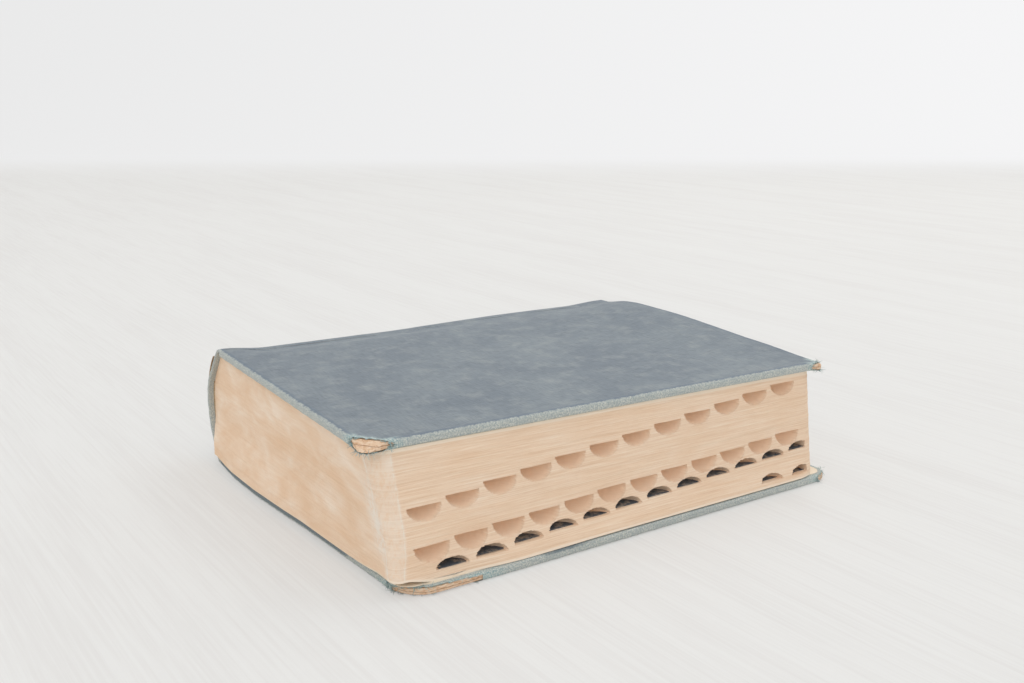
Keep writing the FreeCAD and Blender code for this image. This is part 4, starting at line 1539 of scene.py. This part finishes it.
@dataclass
class Spine:
    """Cloth round the back of the book, and the folds that the covers swing on."""

    shoulder: float = 5.0
    foot: float = 3.0
    front_fold: float = 12.0
    back_fold: float = 26.0
    wrap: Edge = Edge(thickness=1.7, outer_round=0.85, inner_round=0.8, turn_in=13.0)
    front_rows: int = 18
    back_rows: int = 9
    front_hinge: float = -20.0
    back_hinge: float = -31.5

    def corner(self, rounding: float, level: float) -> tuple[float, float, float, float]:
        """Centre of the fillet between the arc and a flat joint, and its end angles.

        Args:
            rounding: Radius of the fillet.
            level: Height of the flat joint.

        Returns:
            Centre across and up, angle where it meets the arc, and 1 above or -1 below.
        """
        side = 1 if level > BOOK.arc_height else -1
        rise = side * (level - BOOK.arc_height) - rounding
        run = math.sqrt((BOOK.arc_radius - rounding) ** 2 - rise ** 2)
        return BOOK.arc_across - run, level - side * rounding, math.atan2(rise, run), side

    def section(self) -> np.ndarray:
        """Points of the outer section from the front fold to the back fold, with normals.

        Returns:
            Across, height and outward normal (across, up), a row a point.
        """
        rows = []
        u, z, angle, _ = self.corner(self.shoulder, BOOK.thickness)
        for x in np.linspace(-self.front_fold, u, 10, endpoint=False):
            rows.append((x, BOOK.thickness, 0.0, 1.0))
        for turn in np.linspace(math.pi / 2, angle, 14, endpoint=False):
            rows.append((u - self.shoulder * math.cos(turn), z + self.shoulder * math.sin(turn),
                         -math.cos(turn), math.sin(turn)))
        low_u, low_z, low_angle, _ = self.corner(self.foot, 0.0)
        for turn in np.linspace(angle, -low_angle, 90, endpoint=False):
            rows.append((BOOK.arc_across - BOOK.arc_radius * math.cos(turn),
                         BOOK.arc_height + BOOK.arc_radius * math.sin(turn),
                         -math.cos(turn), math.sin(turn)))
        for turn in np.linspace(-low_angle, -math.pi / 2, 10, endpoint=False):
            rows.append((low_u - self.foot * math.cos(turn), low_z + self.foot * math.sin(turn),
                         -math.cos(turn), math.sin(turn)))
        for x in np.linspace(low_u, -self.back_fold, 8):
            rows.append((x, 0.0, 0.0, -1.0))
        return np.array(rows)

    @staticmethod
    def run(rows: np.ndarray) -> np.ndarray:
        """Length of the section up to each of its points."""
        steps = np.diff(rows[:, :2], axis=0, prepend=rows[:1, :2])
        return np.cumsum(np.hypot(steps[:, 0], steps[:, 1]))

    def strip(self, name: str, rows: np.ndarray, start_mm: float) -> bpy.types.Object:
        """Part of the spine cloth, turned in at both ends.

        Args:
            name: Name of the piece.
            rows: Section points and normals.
            start_mm: Length of the section before the first row.

        Returns:
            The piece.
        """
        over = self.wrap.length() - self.wrap.outer_round
        v = stations(-over, BOOK.height + over, over + 10, over + 10, 0.6, 3.0)
        along_section = start_mm + self.run(rows)
        flat_v, flat_s = np.meshgrid(v, along_section)
        past = np.maximum(-flat_v, flat_v - BOOK.height)
        out, depth = self.wrap.bend(past + self.wrap.outer_round)
        off = past + self.wrap.outer_round > 0
        sign = np.where(flat_v < BOOK.height / 2, -1.0, 1.0)
        end = np.where(sign < 0, 0.0, BOOK.height)
        rub = smooth(past, -2, 1) * 0.25 * fractal(flat_s * 0.3, flat_v * 0.3)
        at_v = np.where(off, end + sign * (out + rub), flat_v)
        sink = np.where(off, depth, 0.0) + 0.12 * fractal(flat_s * 0.09, flat_v * 0.05) - 0.04
        at_u = rows[:, 0:1] - rows[:, 2:3] * sink
        at_z = rows[:, 1:2] - rows[:, 3:4] * sink
        points = BOOK.spine_point(at_u.ravel(), at_v.ravel(), np.maximum(at_z, 0.0).ravel())
        piece = mesh_piece(name, points, grid_faces(*flat_v.shape, flip=True), CLOTH,
                           {"edge_mm": past + 0.8, "fray_mm": np.full_like(past, 9.0)},
                           np.stack([-flat_s.ravel() - self.front_fold, flat_v.ravel()], axis=-1))
        return piece

    def build(self) -> list[bpy.types.Object]:
        """Makes the spine and its two folds.

        Returns:
            The front fold, the spine and the back fold.
        """
        rows = self.section()
        length = self.run(rows)
        top, low = self.front_rows, len(rows) - self.back_rows
        front = self.strip("front_joint_cloth", rows[:top + 1], 0.0)
        middle = self.strip("spine_cloth_sheet", rows[top:low + 1], length[top])
        back = self.strip("back_joint_cloth", rows[low:], length[low])
        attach(middle, "book_block")
        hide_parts("spine_cloth")
        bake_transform(front)
        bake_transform(back)
        return [front, middle, back]


# Stage and camera


@dataclass(frozen=True)
class Studio:
    """Camera, floor, backdrop and soft light."""

    azimuth: float = 55.674
    elevation: float = 13.408
    lens: float = 39.33
    eye_mm: tuple[float, float, float] = (524.03, -189.46, 201.1)
    sky: tuple = (0.96, 0.975, 1.0, 1.0)
    sky_strength: float = 0.94

    def build(self) -> None:
        """Sets up the camera, the room and the light."""
        self.camera()
        self.room()
        self.light()

    def camera(self) -> None:
        """Puts the camera where the photograph was taken from."""
        a, e = math.radians(self.azimuth), math.radians(self.elevation)
        back = Vector((math.sin(a) * math.cos(e), -math.cos(a) * math.cos(e), math.sin(e)))
        right = Vector((math.cos(a), math.sin(a), 0.0))
        up = back.cross(right)
        data = bpy.data.cameras.new("camera")
        data.lens = self.lens
        data.sensor_width = 36.0
        data.clip_end = 50.0
        eye = bpy.data.objects.new("camera", data)
        x0, y0 = BOOK.origin()
        place = Vector((self.eye_mm[0] + x0, self.eye_mm[1] + y0, self.eye_mm[2])) * MM
        eye.matrix_world = Matrix.Translation(place) @ Matrix((right, up, back)).transposed().to_4x4()
        bpy.context.scene.collection.objects.link(eye)
        bpy.context.scene.camera = eye

    def room(self) -> None:
        """Floor that curves up into a pale backdrop behind the book."""
        heading = math.radians(self.azimuth)
        bend = np.linspace(0.05, 1.5, 24)
        distance = np.concatenate([np.linspace(-6.0, 2.6, 40), 2.6 + np.sin(bend) * 0.9, np.full(8, 3.5)])
        rise = np.concatenate([np.zeros(40), 0.9 * (1 - np.cos(bend)), np.linspace(1.0, 6.0, 8)])
        side = np.linspace(-7.0, 7.0, 12)
        into = np.array([-math.sin(heading), math.cos(heading)])
        right = np.array([math.cos(heading), math.sin(heading)])
        rows = [[*(into * d + right * s), h - 0.0002] for d, h in zip(distance, rise) for s in side]
        faces = grid_faces(len(distance), len(side), flip=True)
        finish = FloorFinish("painted_wood", "cover_cloth", heading=-heading)
        floor = mesh_piece("floor", np.array(rows), faces, finish)

    def light(self) -> None:
        """Wide soft light from above and the left, with an even fill."""
        world = bpy.data.worlds.new("studio")
        world.use_nodes = True
        background = world.node_tree.nodes["Background"]
        background.inputs[0].default_value = self.sky
        background.inputs[1].default_value = self.sky_strength
        bpy.context.scene.world = world
        for name, place, size, power, tint in (
                ("window", (-0.5, 1.5, 1.8), 1.8, 12.0, (1.0, 0.99, 0.97)),
                ("fill", (1.2, -1.6, 1.7), 2.0, 6.0, (1.0, 1.0, 1.0))):
            data = bpy.data.lights.new(name, "AREA")
            data.size = size
            data.energy = power
            data.color = tint
            lamp = bpy.data.objects.new(name, data)
            lamp.location = place
            lamp.rotation_mode = "QUATERNION"
            lamp.rotation_quaternion = (Vector((0, 0, 0.03)) - Vector(place)).to_track_quat("-Z", "Y")
            bpy.context.scene.collection.objects.link(lamp)


def paint_cad_nodes() -> None:
    """Gives each CAD node that stays in view its finish."""
    finishes = {"front_flyleaf": ENDPAPER, "back_flyleaf": ENDPAPER,
                "letter_tabs": TAB, "spine_lining": LINING, "spine_inlay": INLAY,
                "front_pastedown": ENDPAPER, "back_pastedown": ENDPAPER}
    for name, finish in finishes.items():
        node = bpy.data.objects[name]
        for slot in node.material_slots:
            slot.material = finish.material()


def main() -> None:
    """Builds every piece, then the studio."""
    front = WornCover(Side.FRONT, tail_corner=6.0, head_corner=4.0, start=-12.0,
                      tail_hole=(10.0, 2.0), head_hole=(5.0, 2.0), facet=(13.4, 11.5, 33.0), tip=2.8)
    back = WornCover(Side.BACK, tail_corner=18.0, head_corner=9.0, start=-26.0,
                     tail_hole=(20.0, 1.5), head_hole=(8.0, 1.7), tail_shift=12.0)
    for maker in (front, back, LeafBlock(), Spine()):
        for piece in maker.build():
            log.info("%s: %d faces", piece.name, len(piece.data.polygons))
    paint_cad_nodes()
    Studio().build()
    bpy.context.scene.view_settings.view_transform = "Standard"


if __name__ == "__main__":
    logging.basicConfig(level=logging.INFO)
    main()
